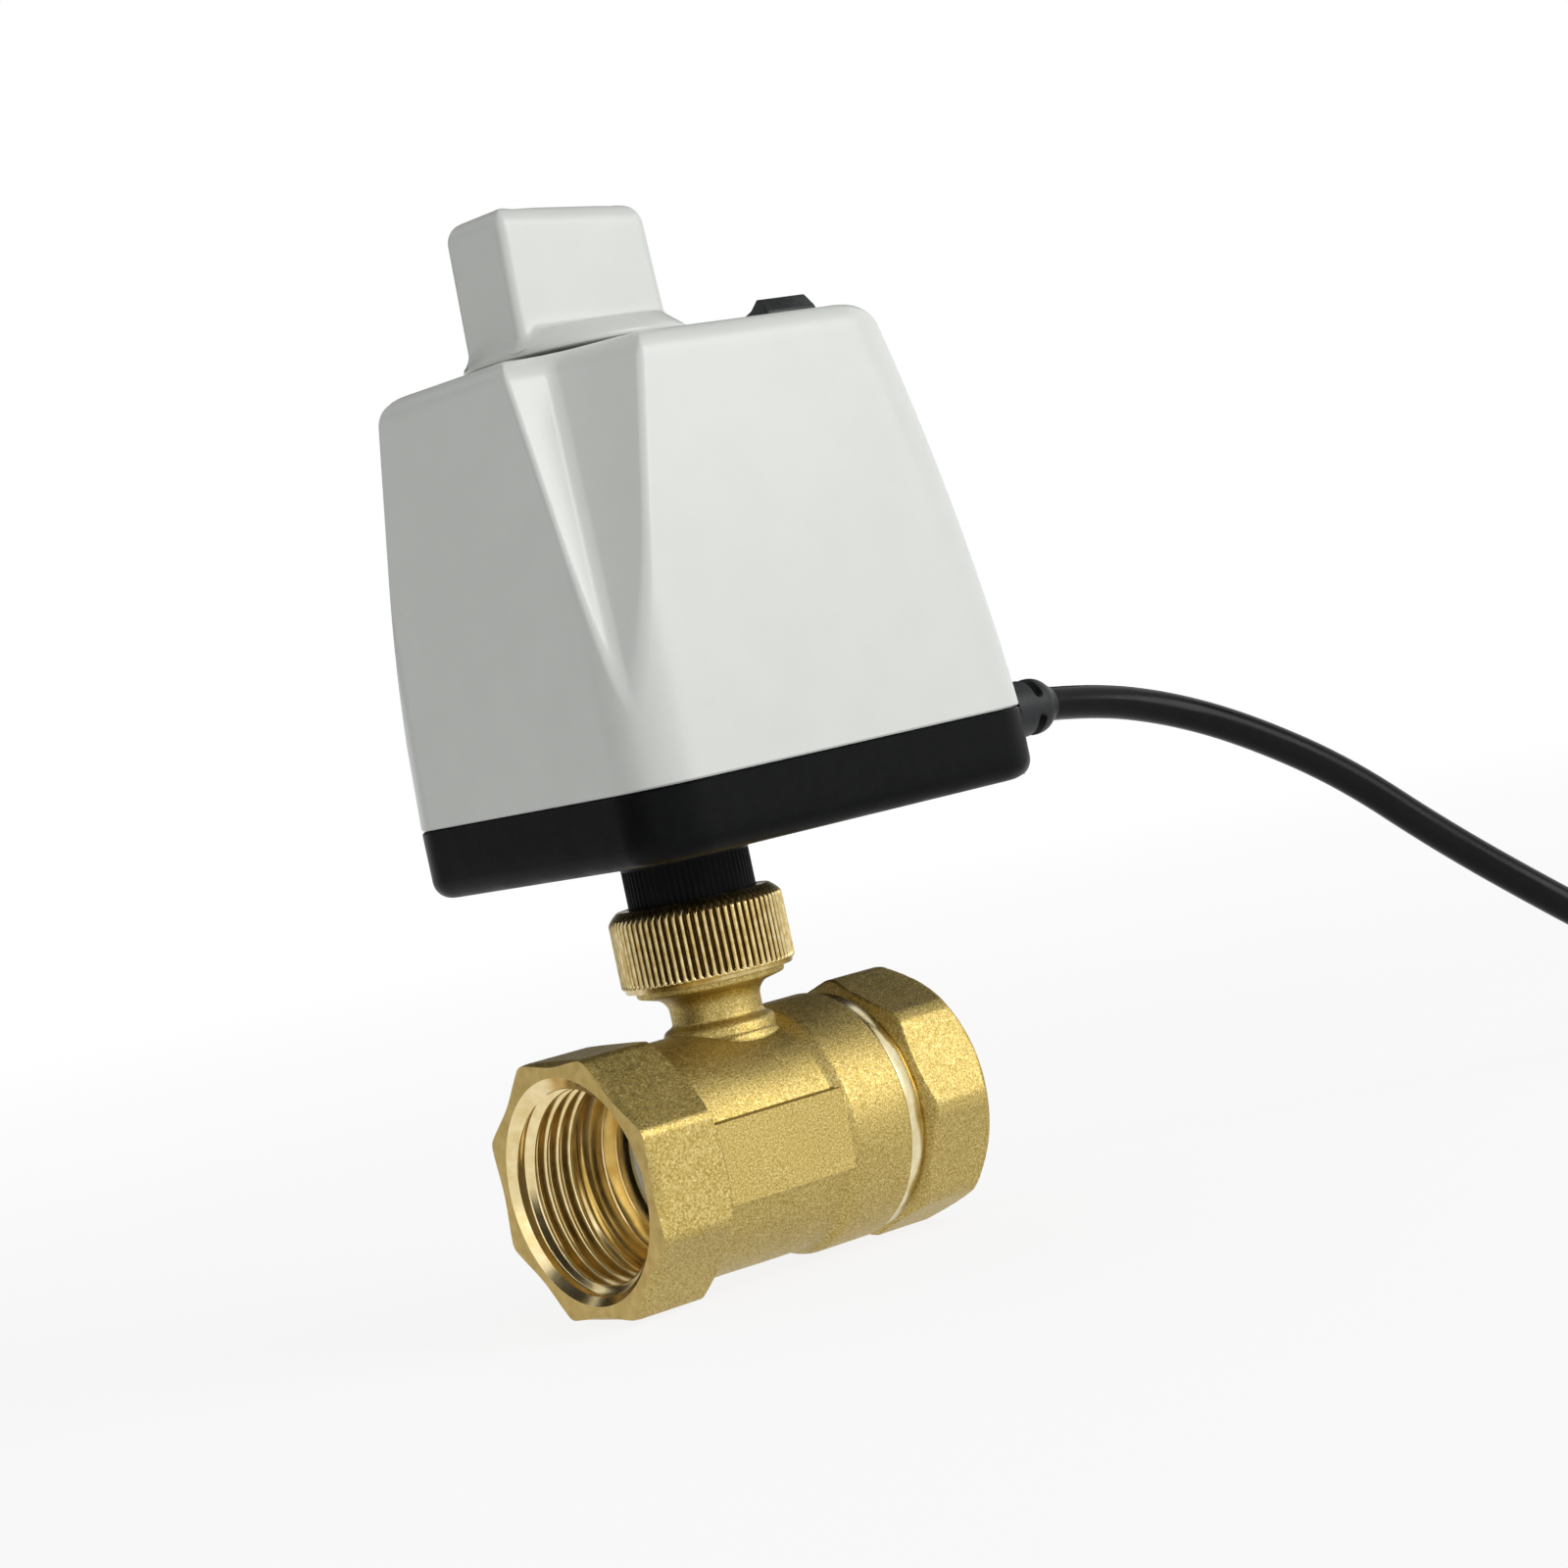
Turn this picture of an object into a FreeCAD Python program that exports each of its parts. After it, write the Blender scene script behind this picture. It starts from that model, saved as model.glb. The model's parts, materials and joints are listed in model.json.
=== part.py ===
import FreeCAD, Part
import math
import os
import re

import Sketcher

# Motorized ball valve: a brass two-piece ball valve with internal pipe threads at both ends,
# joined by a knurled union nut to an electric actuator with a manual knob on its top.
# Each piece is drawn about the crossing of the stem's axis (Z) and the pipe's axis (X), and its
# Placement carries that crossing to the part's own frame: bottom centre of the part, +Z up.

V = FreeCAD.Vector

SIZES = {
    # Valve body and end cap, along the pipe from the stem's axis
    "inlet_reach": 33.1, "outlet_reach": 34.3, "body_flats": 40.0, "body_corner_radius": 21.2,
    "body_hex_length": 13.5, "cap_flats": 39.3, "cap_corner_radius": 20.85, "cap_hex_length": 13.1,
    "cap_turn": -19.1, "corner_bevel": 1.5, "barrel_radius": 18.7, "band_radius": 19.9,
    "band_start": 7.0, "step_length": 2.5, "body_end": 17.6, "cap_collar_radius": 19.3,
    "cap_collar_length": 2.6, "cap_groove_radius": 17.8, "cap_groove_length": 1.0,
    "port_radius": 15.146, "inlet_shoulder": 2.9, "outlet_shoulder": 4.1,
    "port_mouth_radius": 17.9, "port_mouth_length": 1.8,
    "passage_radius": 11.7, "ball_radius": 15.5, "ball_bore": 10.0, "ball_flat": 14.2,
    "seat_radius": 14.5, "seat_bore": 10.6, "seat_length": 3.5, "seat_overlap": 5.8,
    "seat_clearance": 0.05,
    "chamber_radius": 16.2, "spigot_radius": 17.5, "fit_clearance": 0.1,
    "panel_offset": 19.2, "panel_left": 19.0, "panel_right": 6.0, "panel_height": 12.4,
    # Stem boss on the body, up the stem's axis
    "boss_start": 6.0, "boss_base_radius": 10.5, "bead_radius": 9.4, "bead_low": 17.3, "bead_high": 19.5,
    "waist_radius": 7.2, "waist_high": 23.0, "lip_radius": 11.8, "lip_low": 25.0, "lip_high": 26.0,
    "boss_head_radius": 12.0, "boss_top": 33.5, "well_radius": 6.0, "well_top": 17.5,
    # Stem
    "stem_radius": 4.0, "stem_clearance": 0.05, "stem_flange_radius": 5.5, "stem_flange_low": 15.0,
    "washer_thick": 0.7, "tang_width": 4.4, "tang_length": 9.0, "tang_low": 11.4,
    "tang_clearance": 0.1, "drive_flats": 5.5, "drive_low": 30.5, "drive_high": 37.8,
    "ring_groove_radius": 2.55, "ring_groove_length": 2.0, "ring_one_height": 21.5,
    "ring_two_height": 26.5, "ring_wire": 0.72,
    # Union nut, neck and the ring that holds the nut
    "nut_low": 26.6, "nut_high": 39.0, "nut_radius": 13.8, "nut_foot_radius": 13.4,
    "nut_foot_length": 0.6, "nut_chamfer": 1.6, "nut_bore": 12.2, "nut_lip_low": 37.0,
    "neck_radius": 10.15, "neck_low": 34.3, "neck_bore": 7.6, "neck_clearance": 0.2,
    "ring_low": 35.5, "ring_thick": 1.2, "ring_radius": 11.7, "neck_groove_radius": 9.2,
    "ring_gap": 3.0,
    # Tray and cover of the actuator
    "tray_low": 46.4, "parting": 57.5, "tray_rear": 28.8, "tray_reach": 50.2, "housing_half": 34.05,
    "housing_corner": 10.0, "tray_edge": 3.0, "tray_floor": 3.0, "wall": 2.2, "cover_top": 124.1,
    "no_inset": 0.0, "nose_lean": 1.6, "side_lean": 2.05, "end_bow_radius": 176.0, "top_edge": 2.8,
    # Groove at each side of the nose: its valley's place under the top, and its way down
    "groove_level": 118.0, "groove_x": 19.4, "groove_y": 18.5, "groove_run_x": 7.1,
    "groove_run_y": 10.6, "groove_run_z": 46.0, "flank_x": 6.5, "flank_y": 14.5,
    # Bush, manual knob and output shaft
    "bush_bore": 4.05, "bush_radius": 6.1, "bush_flange_radius": 8.0, "bush_flange_thick": 1.0,
    "knob_gap": 1.1, "skirt_radius": 17.7, "skirt_height": 3.3, "knob_half_base": 14.6,
    "knob_half_top": 13.9, "knob_half_width": 7.6, "knob_height": 23.0, "knob_edge": 2.5,
    "knob_foot": 1.0, "skirt_edge": 0.8, "socket_clearance": 0.1, "socket_depth": 15.0,
    "shaft_low": 34.5, "shaft_radius": 6.0,  "shaft_mid_radius": 5.0,
    "shaft_step_two": 21.5, "shaft_top_radius": 4.0, "square_gap": 0.9,
    "square_height": 14.5, "shaft_bush_clearance": 0.05, "shaft_bush_top": 49.4,
    # Gear train
    "gear_module": 0.8, "output_teeth": 44, "wheel_teeth": 40, "pinion_teeth": 12,
    "gear_addendum": 0.8, "gear_dedendum": 1.1, "gear_backlash": 0.2, "pressure_angle": 20.0,
    "gear_stand": 1.5, "output_gear_thick": 5.0, "wheel_lift": 6.0, "wheel_thick": 4.0,
    "idler_x": 18.5, "idler_y": 12.63, "motor_pinion_x": 20.3, "motor_pinion_y": -8.1,
    "motor_pinion_lift": 5.6, "motor_pinion_thick": 5.0, "axle_radius": 1.5, "axle_clearance": 0.05,
    "motor_shaft_radius": 1.2, "motor_shaft_depth": 8.0, "collar_step": 0.8, "collar_length": 0.5,
    # Gear frame
    "plate_stand": 2.6, "plate_thick": 1.5, "plate_gap": 13.5, "plate_rear_gap": 15.8,
    "plate_front_gap": 9.7, "plate_right_gap": 6.55, "plate_left_gap": 4.55, "plate_corner": 4.0,
    "pillar_radius": 2.4, "pillar_inset": 4.0, "plate_hole": 6.3,
    # Motor, cams, switches and circuit board
    "motor_x": 24.0, "motor_y": -9.0, "motor_radius": 14.6, "motor_height": 22.0,
    "motor_boss_radius": 3.5, "cam_radius": 7.0, "cam_lobe": 2.0, "cam_thick": 5.0,
    "cam_lift": 0.7, "switch_length": 20.0, "switch_depth": 9.6,
    "switch_thick": 6.4, "switch_x": -6.0, "switch_y": 12.4, "switch_plunger_x": 6.0,
    "plunger_reach": 2.6, "plunger_radius": 1.1, "board_stand": 27.5,
    "board_thick": 1.6, "board_rear_gap": 12.8, "board_front_gap": 10.2, "board_side_gap": 7.55,
    "board_hole": 5.4, "board_corner": 3.0, "terminal_x": 27.0, "terminal_y": 13.5, "terminal_width": 10.2,
    "terminal_length": 15.2, "terminal_height": 10.0, "terminal_hole": 1.6,
    # Rocker switch
    "rocker_from_end": 23.7, "rocker_from_side": 18.15, "rocker_drop": 2.8, "rocker_tilt": -10.0,
    "paddle_half_length": 6.3, "paddle_half_width": 4.9, "paddle_end_height": 3.0,
    "paddle_ridge_place": 4.6, "paddle_ridge_height": 5.6, "paddle_dip": 4.2,
    "paddle_foot": -1.5, "bezel_half_length": 8.2, "bezel_half_width": 6.0, "bezel_height": 0.5,
    "tub_half_length": 7.6, "tub_half_width": 5.7, "tub_drop": 16.1, "tub_cavity_drop": 7.1,
    "paddle_clearance": 0.2, "rocker_pin": 1.0,
    # Fasteners
    "screw_rear_inset": 8.3, "screw_front_inset": 5.7, "screw_side_inset": 5.75,
    "screw_head_radius": 2.7, "screw_slot_width": 0.8, "screw_slot_depth": 0.9,
    "screw_head_height": 2.0, "screw_radius": 1.4, "screw_length": 15.0, "screw_sink": 0.4,
    "screw_boss_radius": 3.4, "screw_boss_height": 6.5,
    # Strain relief and cord
    "gland_y": -12.0, "gland_z": 56.4, "gland_flange_radius": 6.2, "gland_flange_length": 2.6,
    "gland_neck_radius": 4.0, "gland_collar_radius": 5.4, "gland_collar_length": 1.3,
    "boot_radius": 4.65, "boot_head": 20.2, "boot_tip_x": 72.9, "boot_tip_radius": 2.95,
    "slot_start": 15.7, "slot_width": 1.7, "slot_pitch": 5.9, "slot_floor": 3.3, "slot_bridge": 17.0, "cord_radius": 2.8, "coil_radius": 28.35,
    "coil_pitch": 6.2, "coil_half_turns": 4, "lead_radius": 0.9, "lead_length": 22.0,
    "lead_bend": 11.0, "lead_bend_step": 1.5, "lead_side": 0.97, "lead_lift": 1.0, "lead_drop": 0.7,
}

# Places that follow from the sizes
STEM_X = "(inlet_reach - tray_reach) / 2"
PIPE_Z = "cap_corner_radius"
KNOB_LOW = "cover_top + knob_gap"
SKIRT_TOP = "cover_top + knob_gap + skirt_height"
KNOB_TOP = "(cover_top + knob_gap + knob_height)"
SQUARE_LOW = "(cover_top + square_gap)"
ROCKER_AXIS = "(cover_top - rocker_drop)"
PLATE_LOW = "(tray_low + tray_floor + plate_stand)"
PLATE_TOP = "(%s + plate_thick)" % PLATE_LOW
GEAR_LOW = "(%s + gear_stand)" % PLATE_TOP
WHEEL_LOW = "(%s + wheel_lift)" % GEAR_LOW
MOTOR_PINION_LOW = "(%s + motor_pinion_lift)" % GEAR_LOW
PLATE_REAR = "(plate_rear_gap - tray_rear)"
PLATE_FRONT = "(tray_reach - plate_front_gap)"
PLATE_RIGHT = "(plate_right_gap - housing_half)"
PLATE_LEFT = "(housing_half - plate_left_gap)"
ROCKER_X = "(tray_reach - rocker_from_end)"
ROCKER_Y = "(rocker_from_side - housing_half)"
UPPER_LOW = "(%s + plate_gap)" % PLATE_TOP
UPPER_TOP = "(%s + plate_gap + plate_thick)" % PLATE_TOP
SHAFT_STEP = "(%s + shaft_step_two)" % UPPER_TOP
BOARD_LOW = "(%s + board_stand)" % UPPER_TOP
SEAT_START = "(ball_radius - seat_overlap)"
SEAT_END = "(ball_radius - seat_overlap + seat_length)"

doc = FreeCAD.newDocument("MotorizedBallValve")
sheet = doc.addObject("Spreadsheet::Sheet", "Sizes")


def fill_sheet():
    """Write every size into the sheet as plain text with its alias."""
    for row, (alias, number) in enumerate(SIZES.items(), start=1):
        sheet.set("A%d" % row, alias)
        sheet.set("B%d" % row, str(number))
        sheet.setAlias("B%d" % row, alias)
    doc.recompute()


def bound(text):
    """Turn each size's name in an expression into a reference to its cell."""
    def cell(found):
        word = found.group()
        return "Sizes." + word if word in SIZES else word
    return re.sub(r"[a-z][a-z0-9_]*", cell, str(text))


def size(text):
    """The number that an expression of sizes gives."""
    return float(sheet.evalExpression(bound(text)))


def place(piece, x="0", y="0", z="0"):
    """Bind a piece's Placement: the stem and pipe crossing plus a shift."""
    piece.setExpression("Placement.Base.x", bound("%s + %s" % (STEM_X, x)))
    piece.setExpression("Placement.Base.y", bound(y))
    piece.setExpression("Placement.Base.z", bound("%s + %s" % (PIPE_Z, z)))
    return piece


def name_piece(piece, label, x="0", y="0", z="0"):
    """Give a finished piece its label and its place."""
    piece.Label = label
    return place(piece, x, y, z)


def origin_plane(body, role):
    """One of the body's own origin planes."""
    return [item for item in body.Origin.OriginFeatures if item.Role == role][0]


def sketch_on(body, name, role, loops, circles=(), lift="0"):
    """A sketch of closed straight outlines and circles, every point bound to the sheet."""
    sketch = body.newObject("Sketcher::SketchObject", name)
    sketch.AttachmentSupport = [(origin_plane(body, role), "")]
    sketch.MapMode = "FlatFace"
    sketch.setExpression("AttachmentOffset.Base.z", bound(lift))
    for loop in loops:
        spots = [(size(u), size(v)) for u, v in loop]
        first = sketch.GeometryCount
        for here, there in zip(spots, spots[1:] + spots[:1]):
            sketch.addGeometry(Part.LineSegment(V(*here, 0), V(*there, 0)))
        for step in range(len(loop)):
            following = first + (step + 1) % len(loop)
            sketch.addConstraint(Sketcher.Constraint("Coincident", first + step, 2, following, 1))
        for step, (u, v) in enumerate(loop):
            bind_point(sketch, first + step, 1, u, v)
    for u, v, radius in circles:
        index = sketch.addGeometry(Part.Circle(V(size(u), size(v), 0), V(0, 0, 1), size(radius)))
        bind_point(sketch, index, 3, u, v)
        bind_value(sketch, Sketcher.Constraint("Radius", index, size(radius)), radius)
    return sketch


def rounded_sketch(body, name, plan, radius, circles=(), lift="0"):
    """A rectangle with tangent arcs at its corners, and circles, on the XY plane."""
    sketch = sketch_on(body, name, "XY_Plane", [], circles, lift)
    rear, front, right, left = plan
    curve = size(radius)
    corners = []
    turns = ((rear, right, 180), (front, right, 270), (front, left, 0), (rear, left, 90))
    for x, y, start in turns:
        across = "%s %s %s" % (x, "+" if x == rear else "-", radius)
        up = "%s %s %s" % (y, "+" if y == right else "-", radius)
        circle = Part.Circle(V(size(across), size(up), 0), V(0, 0, 1), curve)
        arc = Part.ArcOfCircle(circle, math.radians(start), math.radians(start + 90))
        corners.append((sketch.addGeometry(arc), arc, across, up))
    for corner, following in zip(corners, corners[1:] + corners[:1]):
        line = sketch.addGeometry(Part.LineSegment(corner[1].EndPoint, following[1].StartPoint))
        sketch.addConstraint(Sketcher.Constraint("Tangent", corner[0], 2, line, 1))
        sketch.addConstraint(Sketcher.Constraint("Tangent", line, 2, following[0], 1))
    for index, arc, across, up in corners:
        bind_point(sketch, index, 3, across, up)
        bind_value(sketch, Sketcher.Constraint("Radius", index, curve), "(%s)" % radius)
    return sketch


def bind_value(sketch, constraint, text):
    """Add one constraint and bind it to the sheet."""
    index = sketch.addConstraint(constraint)
    sketch.renameConstraint(index, "size_%d" % index)
    sketch.setExpression("Constraints.size_%d" % index, bound(text))


def bind_point(sketch, index, end, u, v):
    """Bind a point's two distances from the sketch's origin."""
    across = Sketcher.Constraint("DistanceX", -1, 1, index, end, size(u))
    bind_value(sketch, across, u)
    up = Sketcher.Constraint("DistanceY", -1, 1, index, end, size(v))
    bind_value(sketch, up, v)


def new_body(label):
    """An empty body that is placed at the stem and pipe crossing."""
    body = doc.addObject("PartDesign::Body", label)
    return name_piece(body, label)


def pad(body, sketch, length, both_ways=False, backwards=False):
    """Pad a sketch by a bound length."""
    feature = body.newObject("PartDesign::Pad", sketch.Name + "_pad")
    feature.Profile = sketch
    feature.setExpression("Length", bound(length))
    feature.Midplane = both_ways
    feature.Reversed = backwards
    doc.recompute()
    return feature


def pocket(body, sketch, length, both_ways=False, backwards=False):
    """Pocket a sketch by a bound length, and make sure that it removed something."""
    before = body.Shape.Volume
    feature = body.newObject("PartDesign::Pocket", sketch.Name + "_pocket")
    feature.Profile = sketch
    feature.setExpression("Length", bound(length))
    feature.Midplane = both_ways
    feature.Reversed = backwards
    doc.recompute()
    if body.Shape.Volume > before - 0.01:
        raise RuntimeError("nothing was cut by " + feature.Name)
    return feature


def turn(body, sketch, axis="V_Axis", kind="Revolution"):
    """Turn a sketch a full circle about one of its axes, adding or cutting."""
    before = body.Shape.Volume if kind == "Groove" else 0
    feature = body.newObject("PartDesign::" + kind, sketch.Name + "_turned")
    feature.Profile = sketch
    feature.ReferenceAxis = (sketch, [axis])
    feature.Angle = 360
    doc.recompute()
    if kind == "Groove" and body.Shape.Volume > before - 0.01:
        raise RuntimeError("nothing was cut by " + feature.Name)
    return feature


def edges_where(shape, rule):
    """Names of the edges whose middle, direction and length pass a rule."""
    chosen = []
    for index, edge in enumerate(shape.Edges, start=1):
        middle = edge.valueAt((edge.FirstParameter + edge.LastParameter) / 2)
        if rule(edge, middle):
            chosen.append("Edge%d" % index)
    return chosen


def round_edges(body, radius, rule):
    """Fillet the edges that a rule picks."""
    base = body.Tip
    names = edges_where(base.Shape, rule)
    feature = body.newObject("PartDesign::Fillet", body.Name + "_round")
    feature.Base = (base, names)
    feature.setExpression("Radius", bound(radius))
    doc.recompute()
    return feature


def cylinder(name, radius, height, x="0", y="0", z="0", along="Z"):
    """A plain cylinder along Z, X or Y, with bound sizes and place."""
    solid = doc.addObject("Part::Cylinder", name)
    solid.setExpression("Radius", bound(radius))
    solid.setExpression("Height", bound(height))
    if along == "X":
        solid.Placement.Rotation = FreeCAD.Rotation(V(0, 1, 0), 90)
    if along == "Y":
        solid.Placement.Rotation = FreeCAD.Rotation(V(1, 0, 0), -90)
    return shift(solid, x, y, z)


def block(name, length, width, height, x="0", y="0", z="0"):
    """A plain box from its low corner, with bound sizes and place."""
    solid = doc.addObject("Part::Box", name)
    solid.setExpression("Length", bound(length))
    solid.setExpression("Width", bound(width))
    solid.setExpression("Height", bound(height))
    return shift(solid, x, y, z)


def shift(solid, x, y, z):
    """Bind where a building block stands inside its piece."""
    solid.setExpression("Placement.Base.x", bound(x))
    solid.setExpression("Placement.Base.y", bound(y))
    solid.setExpression("Placement.Base.z", bound(z))
    return solid


def joined(name, solids):
    """The union of some building blocks."""
    union = doc.addObject("Part::MultiFuse", name)
    union.Shapes = solids
    union.Refine = True
    return union


def minus(name, base, tools):
    """A base with some tools taken away."""
    taken = tools[0]
    if len(tools) > 1:
        taken = joined(name + "_tools", tools)
    cut = doc.addObject("Part::Cut", name)
    cut.Base = base
    cut.Tool = taken
    cut.Refine = True
    return cut


def eight_sides(flats, turned="0"):
    """Corner points of an octagon in a sketch, by the distance across its flats."""
    corners = []
    for step in range(8):
        angle = "(%s + %s)" % (turned, 22.5 + 45 * step)
        reach = "%s / 2 / cos(22.5)" % flats
        corners.append(("%s * cos(%s)" % (reach, angle), "%s * sin(%s)" % (reach, angle)))
    return corners


def hollow_turned(body, name, outline, axis="V_Axis", kind="Revolution"):
    """Sketch a closed half section on the XZ plane and turn it."""
    sketch = sketch_on(body, name, "XZ_Plane", [outline])
    return turn(body, sketch, axis, kind)


def bevel_corners(body, name, low, high, corner):
    """Trim an octagon's corners to a radius, with a slanted edge at each face."""
    inner = "%s - corner_bevel" % corner
    outline = [(low, inner), ("%s + corner_bevel" % low, corner)]
    outline += [("%s - corner_bevel" % high, corner), (high, inner)]
    outline += [(high, "%s + 4 * corner_bevel" % corner), (low, "%s + 4 * corner_bevel" % corner)]
    hollow_turned(body, name, outline, "H_Axis", "Groove")


def make_valve_body():
    """The brass body: octagon, barrel, band, label panel, stem boss and all its bores."""
    body = new_body("valve_body")
    face = "-inlet_reach"
    back = "-inlet_reach + body_hex_length"
    octagon = sketch_on(body, "body_octagon", "YZ_Plane", [eight_sides("body_flats")], lift=face)
    pad(body, octagon, "body_hex_length")
    bevel_corners(body, "body_bevel", face, back, "body_corner_radius")
    barrel = [("%s - 1" % back, "0"), ("%s - 1" % back, "barrel_radius")]
    barrel += [("band_start - step_length", "barrel_radius"), ("band_start", "band_radius")]
    barrel += [("body_end", "band_radius"), ("body_end", "0")]
    hollow_turned(body, "body_barrel", barrel, "H_Axis")
    boss = [("0", "boss_start"), ("boss_base_radius", "boss_start"), ("boss_base_radius", "bead_low - 1.2")]
    boss += [("bead_radius", "bead_low"), ("bead_radius", "bead_high")]
    boss += [("waist_radius", "bead_high + 0.9"), ("waist_radius", "waist_high")]
    boss += [("waist_radius + 0.8", "waist_high + 1.4"), ("lip_radius", "lip_low")]
    boss += [("lip_radius", "lip_high"), ("boss_head_radius", "lip_high")]
    boss += [("boss_head_radius", "boss_top"), ("0", "boss_top")]
    hollow_turned(body, "body_boss", boss)
    half = "panel_height / 2"
    panel = [("-panel_left", "-" + half), ("panel_right", "-" + half)]
    panel += [("panel_right", half), ("-panel_left", half)]
    plate = sketch_on(body, "body_panel", "XZ_Plane", [panel], lift="barrel_radius - 4")
    pad(body, plate, "panel_offset - barrel_radius + 4")
    seat_back = "-" + SEAT_END
    inlet_stop = "-(%s + inlet_shoulder)" % SEAT_END
    bore = [(face, "0"), (face, "port_mouth_radius")]
    bore += [("%s + port_mouth_length" % face, "port_radius")]
    bore += [(inlet_stop, "port_radius"), (inlet_stop, "passage_radius")]
    bore += [(seat_back, "passage_radius"), (seat_back, "seat_radius")]
    bore += [("-" + SEAT_START, "seat_radius"), ("-" + SEAT_START, "chamber_radius")]
    bore += [(SEAT_START, "chamber_radius"), (SEAT_START, "spigot_radius + fit_clearance")]
    bore += [("body_end", "spigot_radius + fit_clearance"), ("body_end", "0")]
    hollow_turned(body, "body_bore", bore, "H_Axis", "Groove")
    hole = "stem_radius + stem_clearance"
    well = [("0", "boss_start"), ("well_radius", "boss_start"), ("well_radius", "well_top"), (hole, "well_top")]
    well += [(hole, "boss_top"), ("0", "boss_top")]
    hollow_turned(body, "body_well", well, "V_Axis", "Groove")


def make_end_cap():
    """The brass end that screws into the body: octagon, collar, spigot and its bores."""
    body = new_body("end_cap")
    start = "outlet_reach - cap_hex_length"
    octagon = sketch_on(body, "cap_octagon", "YZ_Plane", [eight_sides("cap_flats", "cap_turn")],
                        lift=start)
    pad(body, octagon, "cap_hex_length")
    bevel_corners(body, "cap_bevel", start, "outlet_reach", "cap_corner_radius")
    collar_end = "body_end + cap_collar_length"
    spigot = [(SEAT_START, "0"), (SEAT_START, "spigot_radius"), ("body_end", "spigot_radius")]
    spigot += [("body_end", "cap_collar_radius"), (collar_end, "cap_collar_radius")]
    spigot += [(collar_end, "cap_groove_radius"), ("%s + 1" % start, "cap_groove_radius")]
    spigot += [("%s + 1" % start, "0")]
    hollow_turned(body, "cap_spigot", spigot, "H_Axis")
    shoulder = SEAT_END + " + outlet_shoulder"
    bore = [(SEAT_START, "0"), (SEAT_START, "seat_radius"), (SEAT_END, "seat_radius")]
    bore += [(SEAT_END, "passage_radius"), (shoulder, "passage_radius")]
    bore += [(shoulder, "port_radius"), ("outlet_reach - port_mouth_length", "port_radius")]
    bore += [("outlet_reach", "port_mouth_radius"), ("outlet_reach", "0")]
    hollow_turned(body, "cap_bore", bore, "H_Axis", "Groove")


def make_seat(label, start):
    """One seat ring with its face cut to the ball."""
    outer = cylinder(label + "_outer", "seat_radius - seat_clearance", "seat_length",
                     x=start, along="X")
    inner = cylinder(label + "_inner", "seat_bore", "seat_length", x=start, along="X")
    ball = doc.addObject("Part::Sphere", label + "_ball")
    ball.setExpression("Radius", bound("ball_radius + seat_clearance"))
    name_piece(minus(label, outer, [inner, ball]), label)


def make_ball():
    """The bored ball with a flat top and the slot that the stem turns it by."""
    sphere = doc.addObject("Part::Sphere", "ball_sphere")
    sphere.setExpression("Radius", bound("ball_radius"))
    bore = cylinder("ball_hole", "ball_bore", "3 * ball_radius", x="-1.5 * ball_radius", along="X")
    top = block("ball_top", "2 * ball_radius", "2 * ball_radius", "ball_radius",
                "-ball_radius", "-ball_radius", "ball_flat")
    slot = block("ball_slot", "tang_width + 2 * tang_clearance", "2 * ball_radius", "ball_radius",
                 "-tang_width / 2 - tang_clearance", "-ball_radius", "tang_low - tang_clearance")
    name_piece(minus("ball", sphere, [bore, top, slot]), "ball")


def square(flats):
    """Corner points of a square about the sketch's origin."""
    half = "%s / 2" % flats
    return [("-" + half, "-" + half), (half, "-" + half), (half, half), ("-" + half, half)]


def make_stem():
    """The stem: tang, flange, two ring grooves and a square drive on top."""
    body = new_body("stem")
    flange_top = "well_top - washer_thick - 0.1"
    outline = [("0", "stem_flange_low"), ("stem_flange_radius", "stem_flange_low")]
    outline += [("stem_flange_radius", flange_top), ("stem_radius", flange_top)]
    for height in ("ring_one_height", "ring_two_height"):
        above = height + " + ring_groove_length"
        outline += [("stem_radius", height), ("ring_groove_radius", height)]
        outline += [("ring_groove_radius", above), ("stem_radius", above)]
    outline += [("stem_radius", "drive_low"), ("0", "drive_low")]
    hollow_turned(body, "stem_round", outline)
    wide = "tang_width / 2"
    long = "tang_length / 2"
    tang = [("-" + wide, "-" + long), (wide, "-" + long), (wide, long), ("-" + wide, long)]
    tang_sketch = sketch_on(body, "stem_tang", "XY_Plane", [tang], lift="tang_low")
    pad(body, tang_sketch, "stem_flange_low - tang_low + 0.2")
    drive = sketch_on(body, "stem_drive", "XY_Plane", [square("drive_flats")], lift="drive_low")
    pad(body, drive, "drive_high - drive_low")


def make_stem_seals():
    """The thrust washer under the boss and the two rings in the stem's grooves."""
    outer = cylinder("washer_outer", "stem_flange_radius", "washer_thick",
                     z="well_top - washer_thick")
    inner = cylinder("washer_inner", "stem_radius + stem_clearance", "washer_thick",
                     z="well_top - washer_thick")
    name_piece(minus("stem_washer", outer, [inner]), "stem_washer")
    rings = []
    for height in ("ring_one_height", "ring_two_height"):
        ring = doc.addObject("Part::Torus", "stem_ring")
        ring.setExpression("Radius1", bound("(ring_groove_radius + stem_radius + stem_clearance) / 2"))
        ring.setExpression("Radius2", bound("ring_wire"))
        shift(ring, "0", "0", height + " + ring_groove_length / 2")
        rings.append(ring)
    name_piece(joined("stem_o_rings", rings), "stem_o_rings")


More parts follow.
